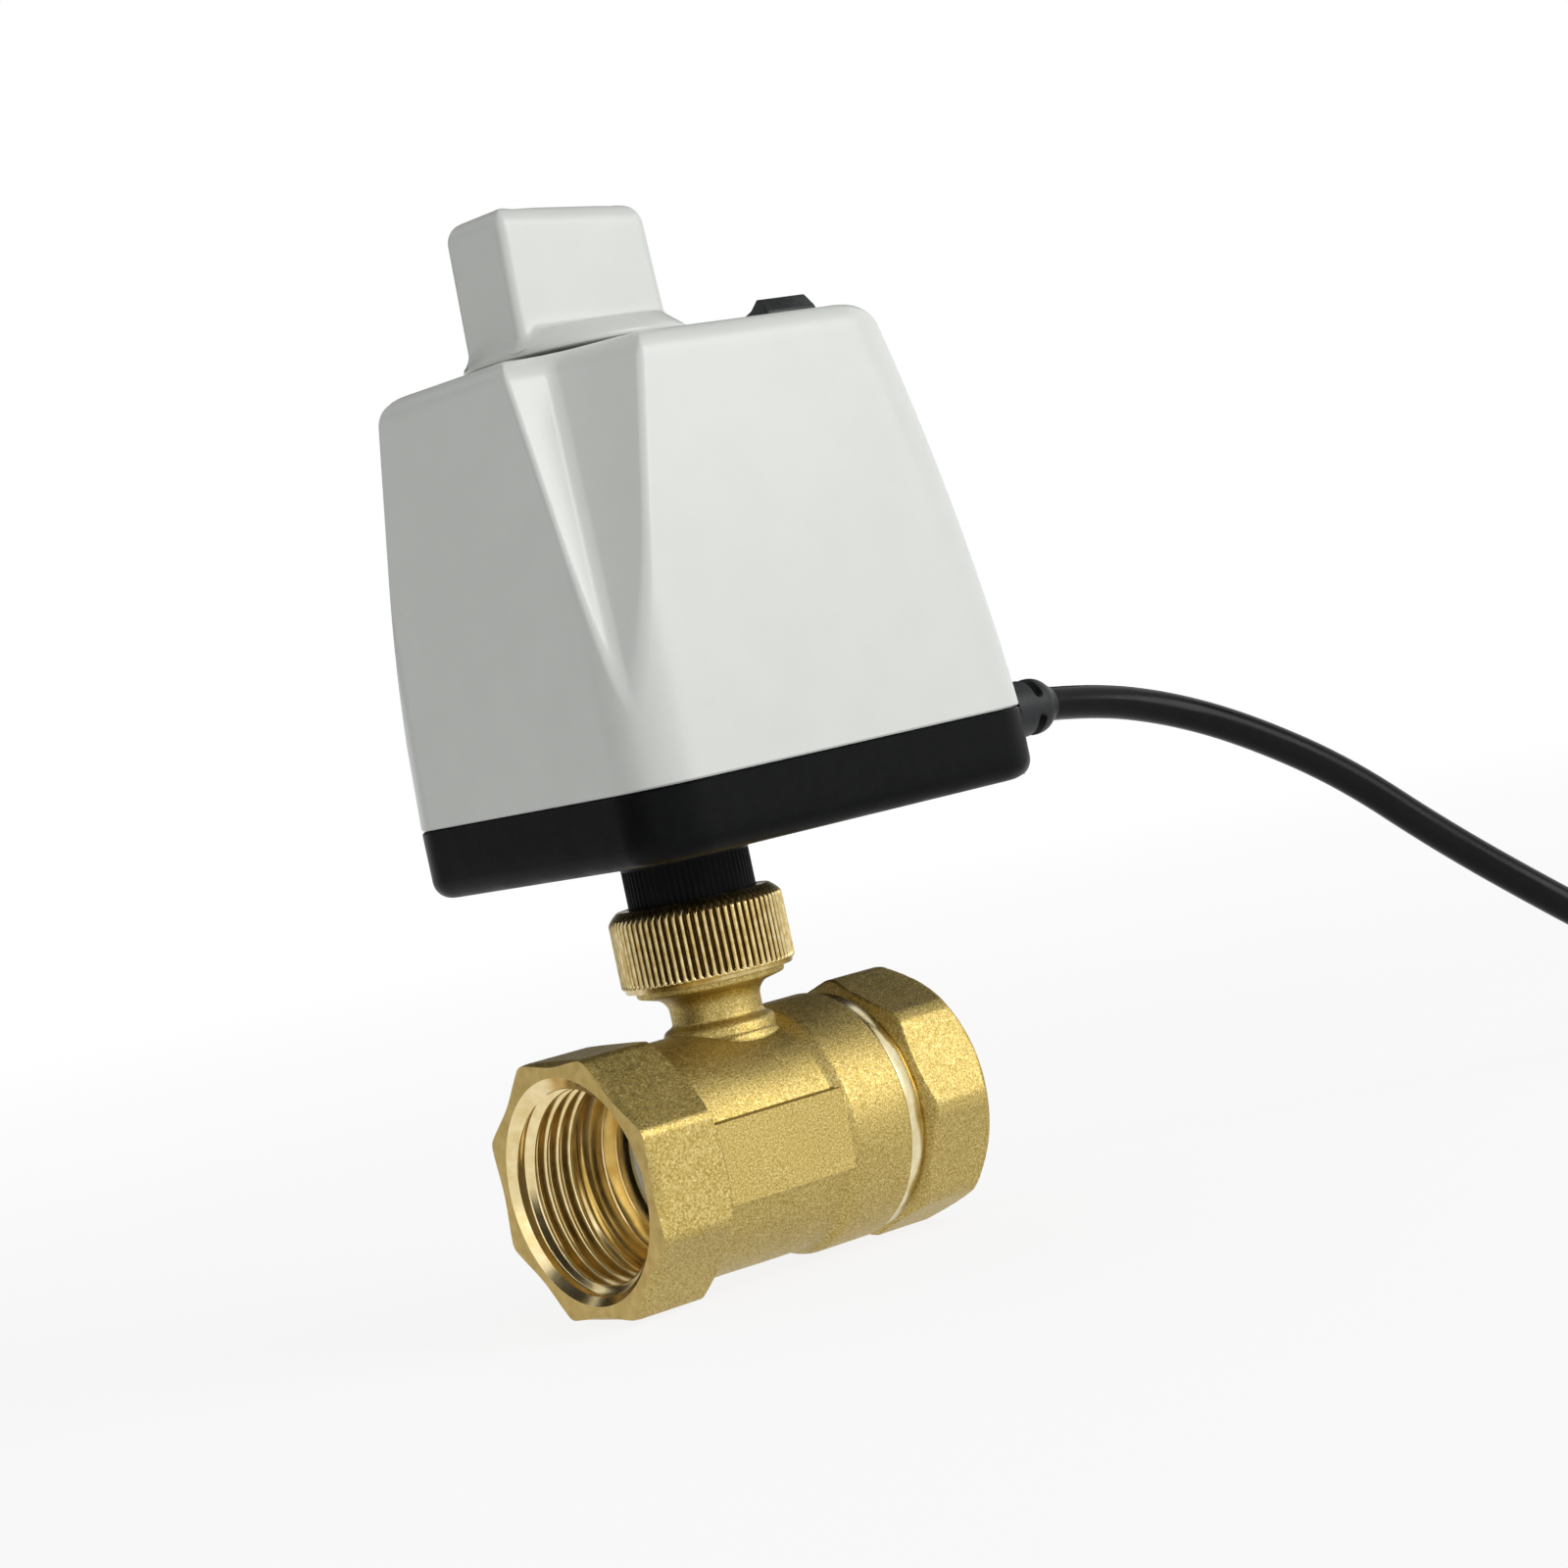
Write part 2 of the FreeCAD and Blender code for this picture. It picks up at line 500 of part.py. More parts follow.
def make_union_nut():
    """The union nut, plain where its knurl and threads are cut."""
    body = new_body("union_nut")
    lip = "neck_radius + neck_clearance"
    outline = [("nut_bore", "nut_low"), ("nut_foot_radius", "nut_low")]
    outline += [("nut_radius", "nut_low + nut_foot_length"), ("nut_radius", "nut_high - nut_chamfer")]
    outline += [("nut_radius - nut_chamfer", "nut_high"), (lip, "nut_high"), (lip, "nut_lip_low")]
    outline += [("nut_bore", "nut_lip_low")]
    hollow_turned(body, "nut_section", outline)


def make_neck_rings():
    """The split ring that holds the nut on the neck, and the gasket under the neck."""
    outer = cylinder("keeper_outer", "ring_radius", "ring_thick", z="ring_low")
    inner = cylinder("keeper_inner", "neck_groove_radius + 0.1", "ring_thick", z="ring_low")
    gap = block("keeper_gap", "ring_radius", "ring_gap", "ring_thick", "0", "-ring_gap / 2", "ring_low")
    name_piece(minus("nut_keeper_ring", outer, [inner, gap]), "nut_keeper_ring")
    disc = cylinder("gasket_outer", "neck_radius", "neck_low - boss_top", z="boss_top")
    hole = cylinder("gasket_inner", "shaft_radius + 0.6", "neck_low - boss_top", z="boss_top")
    name_piece(minus("neck_gasket", disc, [hole]), "neck_gasket")


def screw_places():
    """The four places of the housing's screws, as expressions."""
    places = []
    for x in ("screw_rear_inset - tray_rear", "tray_reach - screw_front_inset"):
        for y in ("screw_side_inset - housing_half", "housing_half - screw_side_inset"):
            places.append((x, y))
    return places


def pillar_places():
    """The four places of the pillars that carry the gear plates and the board."""
    places = []
    for x in (PLATE_REAR + " + pillar_inset", PLATE_FRONT + " - pillar_inset"):
        for y in (PLATE_RIGHT + " + pillar_inset", PLATE_LEFT + " - pillar_inset"):
            places.append((x, y))
    return places


def upright(edge, middle):
    """Whether an edge runs up the cover at one of its corners."""
    return abs(edge.Vertexes[0].Z - edge.Vertexes[-1].Z) > size("cover_top - parting") / 2


def make_base_tray():
    """The black lower housing: tray, neck under it, screw bosses and plate posts."""
    body = new_body("base_tray")
    outside = ("-tray_rear", "tray_reach", "-housing_half", "housing_half")
    plan = rounded_sketch(body, "tray_plan", outside, "housing_corner", lift="tray_low")
    pad(body, plan, "parting - tray_low")
    low = size("tray_low")
    round_edges(body, "tray_edge", lambda edge, middle: abs(middle.z - low) < 0.01)
    inside = ("(wall - tray_rear)", "(tray_reach - wall)", "(wall - housing_half)",
              "(housing_half - wall)")
    hollow = rounded_sketch(body, "tray_hollow", inside, "(housing_corner - wall)", lift="parting")
    pocket(body, hollow, "parting - tray_low - tray_floor")
    neck = [("0", "neck_low"), ("neck_radius", "neck_low"), ("neck_radius", "ring_low")]
    neck += [("neck_groove_radius", "ring_low"), ("neck_groove_radius", "ring_low + ring_thick")]
    neck += [("neck_radius", "ring_low + ring_thick"), ("neck_radius", "tray_low + 1")]
    neck += [("0", "tray_low + 1")]
    hollow_turned(body, "tray_neck", neck)
    posts = [(x, y, "screw_boss_radius") for x, y in screw_places()]
    tall = sketch_on(body, "tray_bosses", "XY_Plane", [], posts, lift="tray_low + tray_floor - 0.5")
    pad(body, tall, "parting - tray_low - tray_floor + 0.5")
    feet = [(x, y, "pillar_radius") for x, y in pillar_places()]
    short = sketch_on(body, "tray_posts", "XY_Plane", [], feet, lift="tray_low + tray_floor - 0.5")
    pad(body, short, "plate_stand + 0.5")
    bore = sketch_on(body, "tray_bore", "XY_Plane", [], [("0", "0", "neck_bore")], lift="parting")
    pocket(body, bore, "parting - neck_low + 1")
    holes = [(x, y, "screw_radius + 0.1") for x, y in screw_places()]
    drill = sketch_on(body, "tray_holes", "XY_Plane", [], holes, lift="parting")
    pocket(body, drill, "parting - tray_low + 1")
    sinks = [(x, y, "screw_head_radius + 0.2") for x, y in screw_places()]
    sink = sketch_on(body, "tray_sinks", "XY_Plane", [], sinks, lift="tray_low")
    pocket(body, sink, "screw_head_height + screw_sink", backwards=True)
    way = [("gland_y", "gland_z", "gland_neck_radius + 0.05")]
    notch = sketch_on(body, "tray_gland", "YZ_Plane", [], way, lift="tray_reach + 1")
    pocket(body, notch, "wall + 2")


def side_groove(name, side, inset):
    """A tool for the groove at one side of the nose: a wedge that follows a sloped valley."""
    run = V(-size("groove_run_x"), side * size("groove_run_y"), -size("groove_run_z"))
    flank = V(size("flank_x"), side * size("flank_y"), 0)
    inner_face = run.cross(V(1, 0, 0)).normalize()
    outer_face = run.cross(flank).normalize()
    if inner_face.y * side > 0:
        inner_face = -inner_face
    if outer_face.x < 0:
        outer_face = -outer_face
    across = inset / inner_face.y
    along = (inset - across * outer_face.y) / outer_face.x
    rise = size("cover_top - groove_level + 4")
    low = V(-size("groove_x"), side * size("groove_y"), size("groove_level"))
    start = low - run * (rise / -run.z)
    valley = start + V(along, across, 0)
    back, out = -size("tray_rear"), side * size("housing_half")
    corners = [valley, valley + V(back, 0, 0), valley + V(back, out, 0), valley + flank * 3]
    wire = Part.makePolygon(corners + corners[:1])
    tool = doc.addObject("Part::Feature", name)
    tool.Shape = Part.Face(wire).extrude(run * 1.7)
    return tool


def cover_form(name, inset):
    """The cover's drafted block, grooved at both sides of its nose, set in by a wall."""
    wedge = doc.addObject("Part::Wedge", name + "_wedge")
    rise = "cover_top - %s" % inset
    limits = {"Xmin": "%s - tray_rear" % inset, "Xmax": "tray_reach - %s" % inset,
              "X2min": "%s - tray_rear + nose_lean" % inset, "X2max": "tray_reach - %s" % inset,
              "Zmin": "%s - housing_half" % inset, "Zmax": "housing_half - %s" % inset,
              "Z2min": "%s - housing_half + side_lean" % inset,
              "Z2max": "housing_half - %s - side_lean" % inset, "Ymin": "parting", "Ymax": rise}
    for limit, text in limits.items():
        wedge.setExpression(limit, bound(text))
    wedge.Placement.Rotation = FreeCAD.Rotation(V(1, 0, 0), 90)
    bow = cylinder(name + "_bow", "end_bow_radius - %s" % inset, "3 * housing_half",
                   "tray_reach - end_bow_radius", "-1.5 * housing_half", "parting", along="Y")
    form = doc.addObject("Part::Common", name + "_form")
    form.Base = wedge
    form.Tool = bow
    doc.recompute()
    depth = size(inset)
    rounded = fillet_part(name + "_corners", form, [(upright, size("housing_corner") - depth)])
    grooves = [side_groove(name + "_groove", side, depth) for side in (-1, 1)]
    return minus(name + "_grooved", rounded, grooves)


def fillet_part(name, base, rules):
    """Fillet the edges that each rule picks, each with its own radius."""
    doc.recompute()
    picked = []
    for rule, radius in rules:
        for edge_name in edges_where(base.Shape, rule):
            picked.append((int(edge_name[4:]), radius, radius))
    rounded = doc.addObject("Part::Fillet", name)
    rounded.Base = base
    rounded.Edges = picked
    doc.recompute()
    return rounded


def make_cover_shell():
    """The pale cover: grooved nose, drafted sides, bowed end, walls and screw bosses."""
    outer = cover_form("cover_outer", "no_inset")

    def top_rim(edge, middle):
        return abs(middle.z - size("cover_top")) < 0.01

    rounded = fillet_part("cover_top_round", outer, [(top_rim, size("top_edge"))])
    inner = cover_form("cover_inner", "wall")
    bosses = []
    holes = []
    for x, y in screw_places():
        bosses.append(cylinder("cover_boss", "screw_boss_radius", "screw_boss_height", x, y, "parting"))
        holes.append(cylinder("cover_hole", "screw_radius + 0.1", "screw_boss_height - 1", x, y, "parting"))
    shell = minus("cover_hollow", rounded, [inner])
    within = doc.addObject("Part::MultiCommon", "cover_bosses")
    within.Shapes = [joined("cover_boss_set", bosses), outer]
    whole = joined("cover_whole", [shell, within])
    bush = cylinder("cover_bush_hole", "bush_radius + 0.1", "3 * wall", z="cover_top - 2 * wall")
    opening = block("cover_rocker_hole", "2 * (tub_half_width + fit_clearance)",
                    "2 * (tub_half_length + fit_clearance)",
                    "3 * wall", ROCKER_X + " - tub_half_width - fit_clearance",
                    ROCKER_Y + " - tub_half_length - fit_clearance", "cover_top - 2 * wall")
    way = cylinder("cover_gland_hole", "gland_neck_radius + 0.05", "3 * wall",
                   "tray_reach - 2 * wall", "gland_y", "gland_z", "X")
    name_piece(minus("cover_shell", whole, holes + [bush, opening, way]), "cover_shell")


def make_bushes():
    """The flanged bush in the cover and the plain one in the neck."""
    flange_low = "cover_top - wall - bush_flange_thick"
    sleeve = cylinder("bush_sleeve", "bush_radius", "wall + bush_flange_thick", z=flange_low)
    flange = cylinder("bush_flange", "bush_flange_radius", "bush_flange_thick", z=flange_low)
    bore = cylinder("bush_hole", "bush_bore", "wall + bush_flange_thick", z=flange_low)
    name_piece(minus("shaft_bush", joined("bush_body", [sleeve, flange]), [bore]), "shaft_bush")
    rise = "shaft_bush_top - neck_low"
    tube = cylinder("neck_bush_tube", "neck_bore - 0.1", rise, z="neck_low")
    hole = cylinder("neck_bush_hole", "shaft_radius + shaft_bush_clearance", rise, z="neck_low")
    name_piece(minus("neck_bush", tube, [hole]), "neck_bush")


def make_manual_knob():
    """The knob: a round skirt, a tapered bar across it and a square socket for the shaft."""
    skirt = cylinder("knob_skirt", "skirt_radius", "skirt_height", z=KNOB_LOW)
    bar = doc.addObject("Part::Wedge", "knob_bar")
    limits = {"Xmin": "-knob_half_base", "Xmax": "knob_half_base", "X2min": "-knob_half_top",
              "X2max": "knob_half_top", "Zmin": "-knob_half_width", "Zmax": "knob_half_width",
              "Z2min": "-knob_half_width", "Z2max": "knob_half_width",
              "Ymin": SKIRT_TOP + " - 1", "Ymax": KNOB_TOP}
    for limit, text in limits.items():
        bar.setExpression(limit, bound(text))
    bar.Placement.Rotation = FreeCAD.Rotation(V(1, 0, 0), 90)
    top = size(KNOB_TOP)
    foot = size(SKIRT_TOP)

    def bar_edge(edge, middle):
        tall = abs(edge.Vertexes[0].Z - edge.Vertexes[-1].Z) > 10
        return abs(middle.z - top) < 0.01 or tall

    def foot_edge(edge, middle):
        return abs(middle.z - foot) < 0.01 and abs(middle.y) < size("knob_half_width") + 0.1

    def skirt_edge(edge, middle):
        return abs(middle.z - foot) < 0.01 and abs(edge.BoundBox.XLength) > size("skirt_radius")

    softened = fillet_part("knob_bar_round", bar, [(bar_edge, size("knob_edge"))])
    whole = joined("knob_whole", [skirt, softened])
    rules = [(foot_edge, size("knob_foot")), (skirt_edge, size("skirt_edge"))]
    rounded = fillet_part("knob_round", whole, rules)
    flats = "drive_flats + 2 * socket_clearance"
    socket = block("knob_socket", flats, flats, "socket_depth", "-(%s) / 2" % flats,
                   "-(%s) / 2" % flats, KNOB_LOW)
    name_piece(minus("manual_knob", rounded, [socket]), "manual_knob")


def make_output_shaft():
    """The stepped output shaft with a square socket below and a square end above."""
    body = new_body("output_shaft")
    outline = [("0", "shaft_low"), ("shaft_radius", "shaft_low"), ("shaft_radius", GEAR_LOW)]
    outline += [("shaft_mid_radius", GEAR_LOW), ("shaft_mid_radius", SHAFT_STEP)]
    outline += [("shaft_top_radius", SHAFT_STEP), ("shaft_top_radius", SQUARE_LOW)]
    outline += [("0", SQUARE_LOW)]
    hollow_turned(body, "shaft_round", outline)
    end = sketch_on(body, "shaft_end", "XY_Plane", [square("drive_flats")], lift=SQUARE_LOW)
    pad(body, end, "square_height")
    wide = "(drive_flats + 2 * socket_clearance)"
    socket = sketch_on(body, "shaft_socket", "XY_Plane", [square(wide)], lift="shaft_low")
    pocket(body, socket, "drive_high - shaft_low + 0.4", backwards=True)


def gear_face(teeth, turned):
    """The outline of a spur gear: three points of the involute on each flank."""
    module = size("gear_module")
    pressure = math.radians(size("pressure_angle"))
    pitch = module * teeth / 2
    base = pitch * math.cos(pressure)
    tip = pitch + size("gear_addendum") * module
    root = pitch - size("gear_dedendum") * module

    def half_angle(radius):
        roll = math.acos(min(1.0, base / radius))
        widening = math.tan(pressure) - pressure - math.tan(roll) + roll
        return math.pi / 2 / teeth + widening - size("gear_backlash") / 4 / pitch

    def spot(radius, angle):
        return V(radius * math.cos(angle), radius * math.sin(angle), 0)

    edges = []
    for tooth in range(teeth):
        middle = turned + 2 * math.pi * tooth / teeth
        following = middle + 2 * math.pi / teeth
        rise = [spot(radius, middle - half_angle(radius)) for radius in (root, pitch, tip)]
        fall = [spot(radius, middle + half_angle(radius)) for radius in (tip, pitch, root)]
        edges.append(Part.Arc(*rise).toShape())
        edges.append(Part.LineSegment(rise[2], fall[0]).toShape())
        edges.append(Part.Arc(*fall).toShape())
        edges.append(Part.LineSegment(fall[2], spot(root, following - half_angle(root))).toShape())
    return Part.Face(Part.Wire(edges))


def gear_solid(teeth, turned, low, thick):
    """A spur gear about the sketch origin, from a height and with a thickness."""
    solid = gear_face(teeth, turned).extrude(V(0, 0, thick))
    solid.translate(V(0, 0, low))
    return solid


def bored(shape, radius, low, high):
    """A shape with a round hole along its own axis."""
    return shape.cut(Part.makeCylinder(radius, high - low, V(0, 0, low)))


def heading(start_x, start_y, end_x, end_y):
    """The plan angle from one gear's centre to the next."""
    return math.atan2(size(end_y) - size(start_y), size(end_x) - size(start_x))


def make_gears():
    """Output gear, compound idler and motor pinion, turned so that their teeth mesh."""
    fit = size("fit_clearance")
    pinion_teeth = int(size("pinion_teeth"))
    gap_turn = math.pi - math.pi / pinion_teeth
    first = heading("no_inset", "no_inset", "idler_x", "idler_y")
    second = heading("idler_x", "idler_y", "motor_pinion_x", "motor_pinion_y")
    low = size(GEAR_LOW)
    thick = size("output_gear_thick")
    output = doc.addObject("Part::Feature", "output_gear")
    disc = gear_solid(int(size("output_teeth")), first, low, thick)
    output.Shape = bored(disc, size("shaft_mid_radius") + fit, low, low + thick)
    name_piece(output, "output_gear")
    wheel_low = size(WHEEL_LOW)
    wheel_top = wheel_low + size("wheel_thick")
    wheel = gear_solid(int(size("wheel_teeth")), second, wheel_low, size("wheel_thick"))
    pinion = gear_solid(pinion_teeth, first + gap_turn, low, wheel_low - low)
    idler = doc.addObject("Part::Feature", "idler_gear")
    axle_hole = size("axle_radius + axle_clearance")
    idler.Shape = bored(wheel.fuse(pinion).removeSplitter(), axle_hole, low, wheel_top)
    name_piece(idler, "idler_gear", "idler_x", "idler_y")
    motor_low = size(MOTOR_PINION_LOW)
    drive = gear_solid(pinion_teeth, second + gap_turn, motor_low, size("motor_pinion_thick"))
    motor = doc.addObject("Part::Feature", "motor_pinion")
    motor.Shape = bored(drive, size("motor_shaft_radius") + fit, motor_low,
                        motor_low + size("motor_pinion_thick"))
    name_piece(motor, "motor_pinion", "motor_pinion_x", "motor_pinion_y")
    shaft = cylinder("motor_shaft_rod", "motor_shaft_radius",
                     "%s + motor_shaft_depth - %s" % (UPPER_TOP, MOTOR_PINION_LOW), z=MOTOR_PINION_LOW)
    seat = doc.addObject("Part::MultiFuse", "motor_shaft_whole")
    collar = cylinder("motor_shaft_collar", "motor_shaft_radius + collar_step", "collar_length",
                      z=MOTOR_PINION_LOW + " + motor_pinion_thick")
    seat.Shapes = [shaft, collar]
    name_piece(seat, "motor_shaft", "motor_pinion_x", "motor_pinion_y")
    axle = cylinder("idler_axle_pin", "axle_radius", "2 * plate_thick + plate_gap", z=PLATE_LOW)
    name_piece(axle, "idler_axle", "idler_x", "idler_y", PLATE_LOW)


def make_gear_plate(label, low, holes):
    """A steel plate of the gear frame with its holes and rounded corners."""
    body = new_body(label)
    plan = (PLATE_REAR, PLATE_FRONT, PLATE_RIGHT, PLATE_LEFT)
    sketch = rounded_sketch(body, label + "_plan", plan, "plate_corner", holes, low)
    pad(body, sketch, "plate_thick")


def make_gear_frame():
    """Both plates and the pillars between them and up to the circuit board."""
    shaft = ("0", "0", "plate_hole")
    axle = ("idler_x", "idler_y", "axle_radius + axle_clearance")
    boss = ("motor_pinion_x", "motor_pinion_y", "motor_boss_radius + 0.1")
    make_gear_plate("lower_gear_plate", PLATE_LOW, [shaft, axle])
    make_gear_plate("upper_gear_plate", UPPER_LOW, [shaft, axle, boss])
    pillars = []
    for x, y in pillar_places():
        pillars.append(cylinder("pillar_low", "pillar_radius", "plate_gap", x, y, PLATE_TOP))
        pillars.append(cylinder("pillar_high", "pillar_radius", "board_stand",
                                x, y, UPPER_TOP))
    name_piece(joined("plate_pillars", pillars), "plate_pillars")


def make_motor():
    """The motor can on the upper plate, with its boss about the offset shaft."""
    can = cylinder("motor_body", "motor_radius", "motor_height", "motor_x", "motor_y", UPPER_TOP)
    boss = cylinder("motor_boss", "motor_boss_radius", "plate_thick", "motor_pinion_x",
                    "motor_pinion_y", UPPER_LOW)
    hole = cylinder("motor_bore", "motor_shaft_radius + fit_clearance",
                    "plate_thick + motor_shaft_depth + 1", "motor_pinion_x",
                    "motor_pinion_y", UPPER_LOW)
    name_piece(minus("motor", joined("motor_whole", [can, boss]), [hole]), "motor")


def make_cam(label, low, x, y):
    """A cam on the output shaft with one round lobe."""
    disc = cylinder(label + "_disc", "cam_radius", "cam_thick", z=low)
    lobe = cylinder(label + "_lobe", "cam_lobe", "cam_thick", x, y, low)
    bore = cylinder(label + "_bore", "shaft_mid_radius + fit_clearance", "cam_thick", z=low)
    name_piece(minus(label, joined(label + "_whole", [disc, lobe]), [bore]), label)


def make_switch(label, low):
    """A limit switch beside the cams, with its plunger towards them."""
    case = block(label + "_case", "switch_length", "switch_depth", "switch_thick", "switch_x",
                 "switch_y", low)
    plunger = cylinder(label + "_plunger", "plunger_radius", "plunger_reach + 1",
                       "switch_x + switch_plunger_x", "switch_y - plunger_reach",
                       "%s + switch_thick / 2" % low, "Y")
    name_piece(joined(label, [case, plunger]), label)


def make_control():
    """Cams, limit switches, circuit board and terminal block."""
    first = UPPER_TOP + " + cam_lift"
    second = UPPER_TOP + " + switch_thick + cam_lift"
    make_cam("open_cam", first, "0", "cam_radius")
    make_cam("closed_cam", second, "-cam_radius", "0")
    make_switch("open_switch", UPPER_TOP)
    make_switch("closed_switch", UPPER_TOP + " + switch_thick")
    body = new_body("circuit_board")
    plan = ("(board_rear_gap - tray_rear)", "(tray_reach - board_front_gap)",
            "(board_side_gap - housing_half)", "(housing_half - board_side_gap)")
    holes = [("0", "0", "board_hole")]
    sketch = rounded_sketch(body, "board_plan", plan, "board_corner", holes, BOARD_LOW)
    pad(body, sketch, "board_thick")
    case = block("terminal_case", "terminal_width", "terminal_length", "terminal_height",
                 "terminal_x - terminal_width / 2", "terminal_y - terminal_length / 2",
                 BOARD_LOW + " + board_thick")
    wells = []
    for step in (-1, 0, 1):
        wells.append(cylinder("terminal_well", "terminal_hole", "terminal_height / 2", "terminal_x",
                              "terminal_y + %d * terminal_length / 3" % step,
                              BOARD_LOW + " + board_thick + terminal_height / 2"))
    name_piece(minus("terminal_block", case, wells), "terminal_block")


def make_rocker():
    """The rocker switch: bezel and tub in the cover's top, and the paddle on its pin."""
    rim = block("bezel_rim", "2 * bezel_half_width", "2 * bezel_half_length", "bezel_height",
                "-bezel_half_width", "-bezel_half_length", "cover_top")
    tub = block("rocker_tub", "2 * tub_half_width", "2 * tub_half_length",
                "bezel_height + tub_drop", "-tub_half_width", "-tub_half_length", "cover_top - tub_drop")
    reach = "(paddle_half_length + 3 * paddle_clearance)"
    half = "(paddle_half_width + paddle_clearance)"
    hollow = block("rocker_hollow", "2 * " + half, "2 * " + reach, "tub_cavity_drop + 3",
                   "-" + half, "-" + reach, "cover_top - tub_cavity_drop")
    pin = cylinder("rocker_pin_hole", "rocker_pin + stem_clearance", "2 * tub_half_width",
                   "-tub_half_width", "0", ROCKER_AXIS, "X")
    frame = minus("rocker_bezel", joined("rocker_solid", [rim, tub]), [hollow, pin])
    name_piece(frame, "rocker_bezel", ROCKER_X, ROCKER_Y)
    body = doc.addObject("PartDesign::Body", "rocker_paddle")
    tilt = FreeCAD.Rotation(V(1, 0, 0), size("rocker_tilt"))
    body.Placement = FreeCAD.Placement(V(0, 0, 0), tilt)
    name_piece(body, "rocker_paddle", ROCKER_X, ROCKER_Y, ROCKER_AXIS)
    outline = [("-paddle_half_length", "1"), ("0", "paddle_foot"), ("paddle_half_length", "1")]
    outline += [("paddle_half_length", "paddle_end_height")]
    outline += [("paddle_ridge_place", "paddle_ridge_height"), ("0", "paddle_dip")]
    outline += [("-paddle_ridge_place", "paddle_ridge_height")]
    outline += [("-paddle_half_length", "paddle_end_height")]
    profile = sketch_on(body, "paddle_profile", "YZ_Plane", [outline])
    pad(body, profile, "2 * paddle_half_width", both_ways=True)
    pin_plan = sketch_on(body, "paddle_pin", "YZ_Plane", [], [("0", "0", "rocker_pin")])
    pad(body, pin_plan, "2 * tub_half_width - 0.4", both_ways=True)


def make_cover_screws():
    """The four screws that come up through the tray into the cover."""
    screws = []
    for x, y in screw_places():
        low = "tray_low + screw_sink"
        head = cylinder("screw_head", "screw_head_radius", "screw_head_height", x, y, low)
        shank = cylinder("screw_shank", "screw_radius", "screw_length", x, y, low)
        drive = block("screw_slot", "2 * screw_head_radius", "screw_slot_width", "screw_slot_depth",
                      x + " - screw_head_radius", y + " - screw_slot_width / 2", low)
        screws.append(minus("cover_screw", joined("screw_whole", [head, shank]), [drive]))
    name_piece(joined("cover_screws", screws), "cover_screws")


def make_strain_relief():
    """The slotted boot where the cord leaves the end of the housing."""
    body = new_body("strain_relief")
    place(body, "0", "gland_y", "gland_z")
    inside = "tray_reach - wall - 0.1"
    collar = "tray_reach + 0.1"
    outline = [(inside + " - gland_flange_length", "0")]
    outline += [(inside + " - gland_flange_length", "gland_flange_radius")]
    outline += [(inside, "gland_flange_radius"), (inside, "gland_neck_radius")]
    outline += [(collar, "gland_neck_radius"), (collar, "gland_collar_radius")]
    outline += [(collar + " + gland_collar_length", "gland_collar_radius")]
    outline += [(collar + " + gland_collar_length", "boot_radius")]
    outline += [("tray_reach + boot_head", "boot_radius")]
    outline += [("boot_tip_x", "boot_tip_radius"), ("boot_tip_x", "0")]
    hollow_turned(body, "boot_section", outline, "H_Axis")
    for pair in range(3):
        loops = []
        for side in ("", "-"):
            inner, outer = [], []
            for share in (0.0, 0.25, 0.5, 0.75, 1.0):
                angle = "(slot_bridge + %s * (180 - 2 * slot_bridge))" % share
                across, over = "cos(%s)" % angle, side + "sin(%s)" % angle
                if pair == 1:
                    across, over = over, across
                inner.append((across + " * slot_floor", over + " * slot_floor"))
                outer.append((across + " * 1.2 * boot_radius", over + " * 1.2 * boot_radius"))
            loops.append(inner + outer[::-1])
        lift = "tray_reach + slot_start - %d * slot_pitch" % pair
        slots = sketch_on(body, "boot_slots_%d" % pair, "YZ_Plane", loops, lift=lift)
        pocket(body, slots, "slot_width", backwards=True)


# The cord's route from the boot's tip to the coil, in the part's own frame
CORD_ROUTE = [
    (64.35, -12.0, 77.25), (76.35, -12.0, 77.25), (87.9, -14.6, 73.3), (98.6, -20.6, 64.7),
    (107.8, -29.4, 53.1), (117.2, -40.0, 40.5), (127.4, -51.6, 28.5), (141.5, -62.9, 13.6),
    (155.3, -70.9, 6.2), (166.6, -76.0, 2.8), (174.5, -78.9, 2.8),
]


def cord_path(points):
    """Straight runs joined by tangent arcs, each as large as its two runs allow."""
    spots = [V(*point) for point in points]
    edges = []
    radii = []
    start = spots[0]
    for before, corner, after in zip(spots, spots[1:], spots[2:]):
        arriving = (corner - before)
        leaving = (after - corner)
        turn_angle = arriving.getAngle(leaving)
        reach = 0.45 * min(arriving.Length, leaving.Length)
        radius = reach / math.tan(turn_angle / 2)
        radii.append(radius)
        one = corner - V(arriving).normalize() * reach
        two = corner + V(leaving).normalize() * reach
        chord = (one + two) * 0.5
        inward = (chord - corner).normalize()
        centre = corner + inward * math.hypot(radius, reach)
        middle = centre - inward * radius
        edges.append(Part.LineSegment(start, one).toShape())
        edges.append(Part.Arc(one, middle, two).toShape())
        start = two
    edges.append(Part.LineSegment(start, spots[-1]).toShape())
    print("cord radii", [round(radius, 1) for radius in radii])
    return Part.Wire(edges)


def swept(path, radius):
    """A round tube along a path."""
    start = path.Edges[0]
    spot = start.valueAt(start.FirstParameter)
    along = start.tangentAt(start.FirstParameter)
    ring = Part.Wire([Part.makeCircle(radius, spot, along)])
    return path.makePipeShell([ring], True, False)


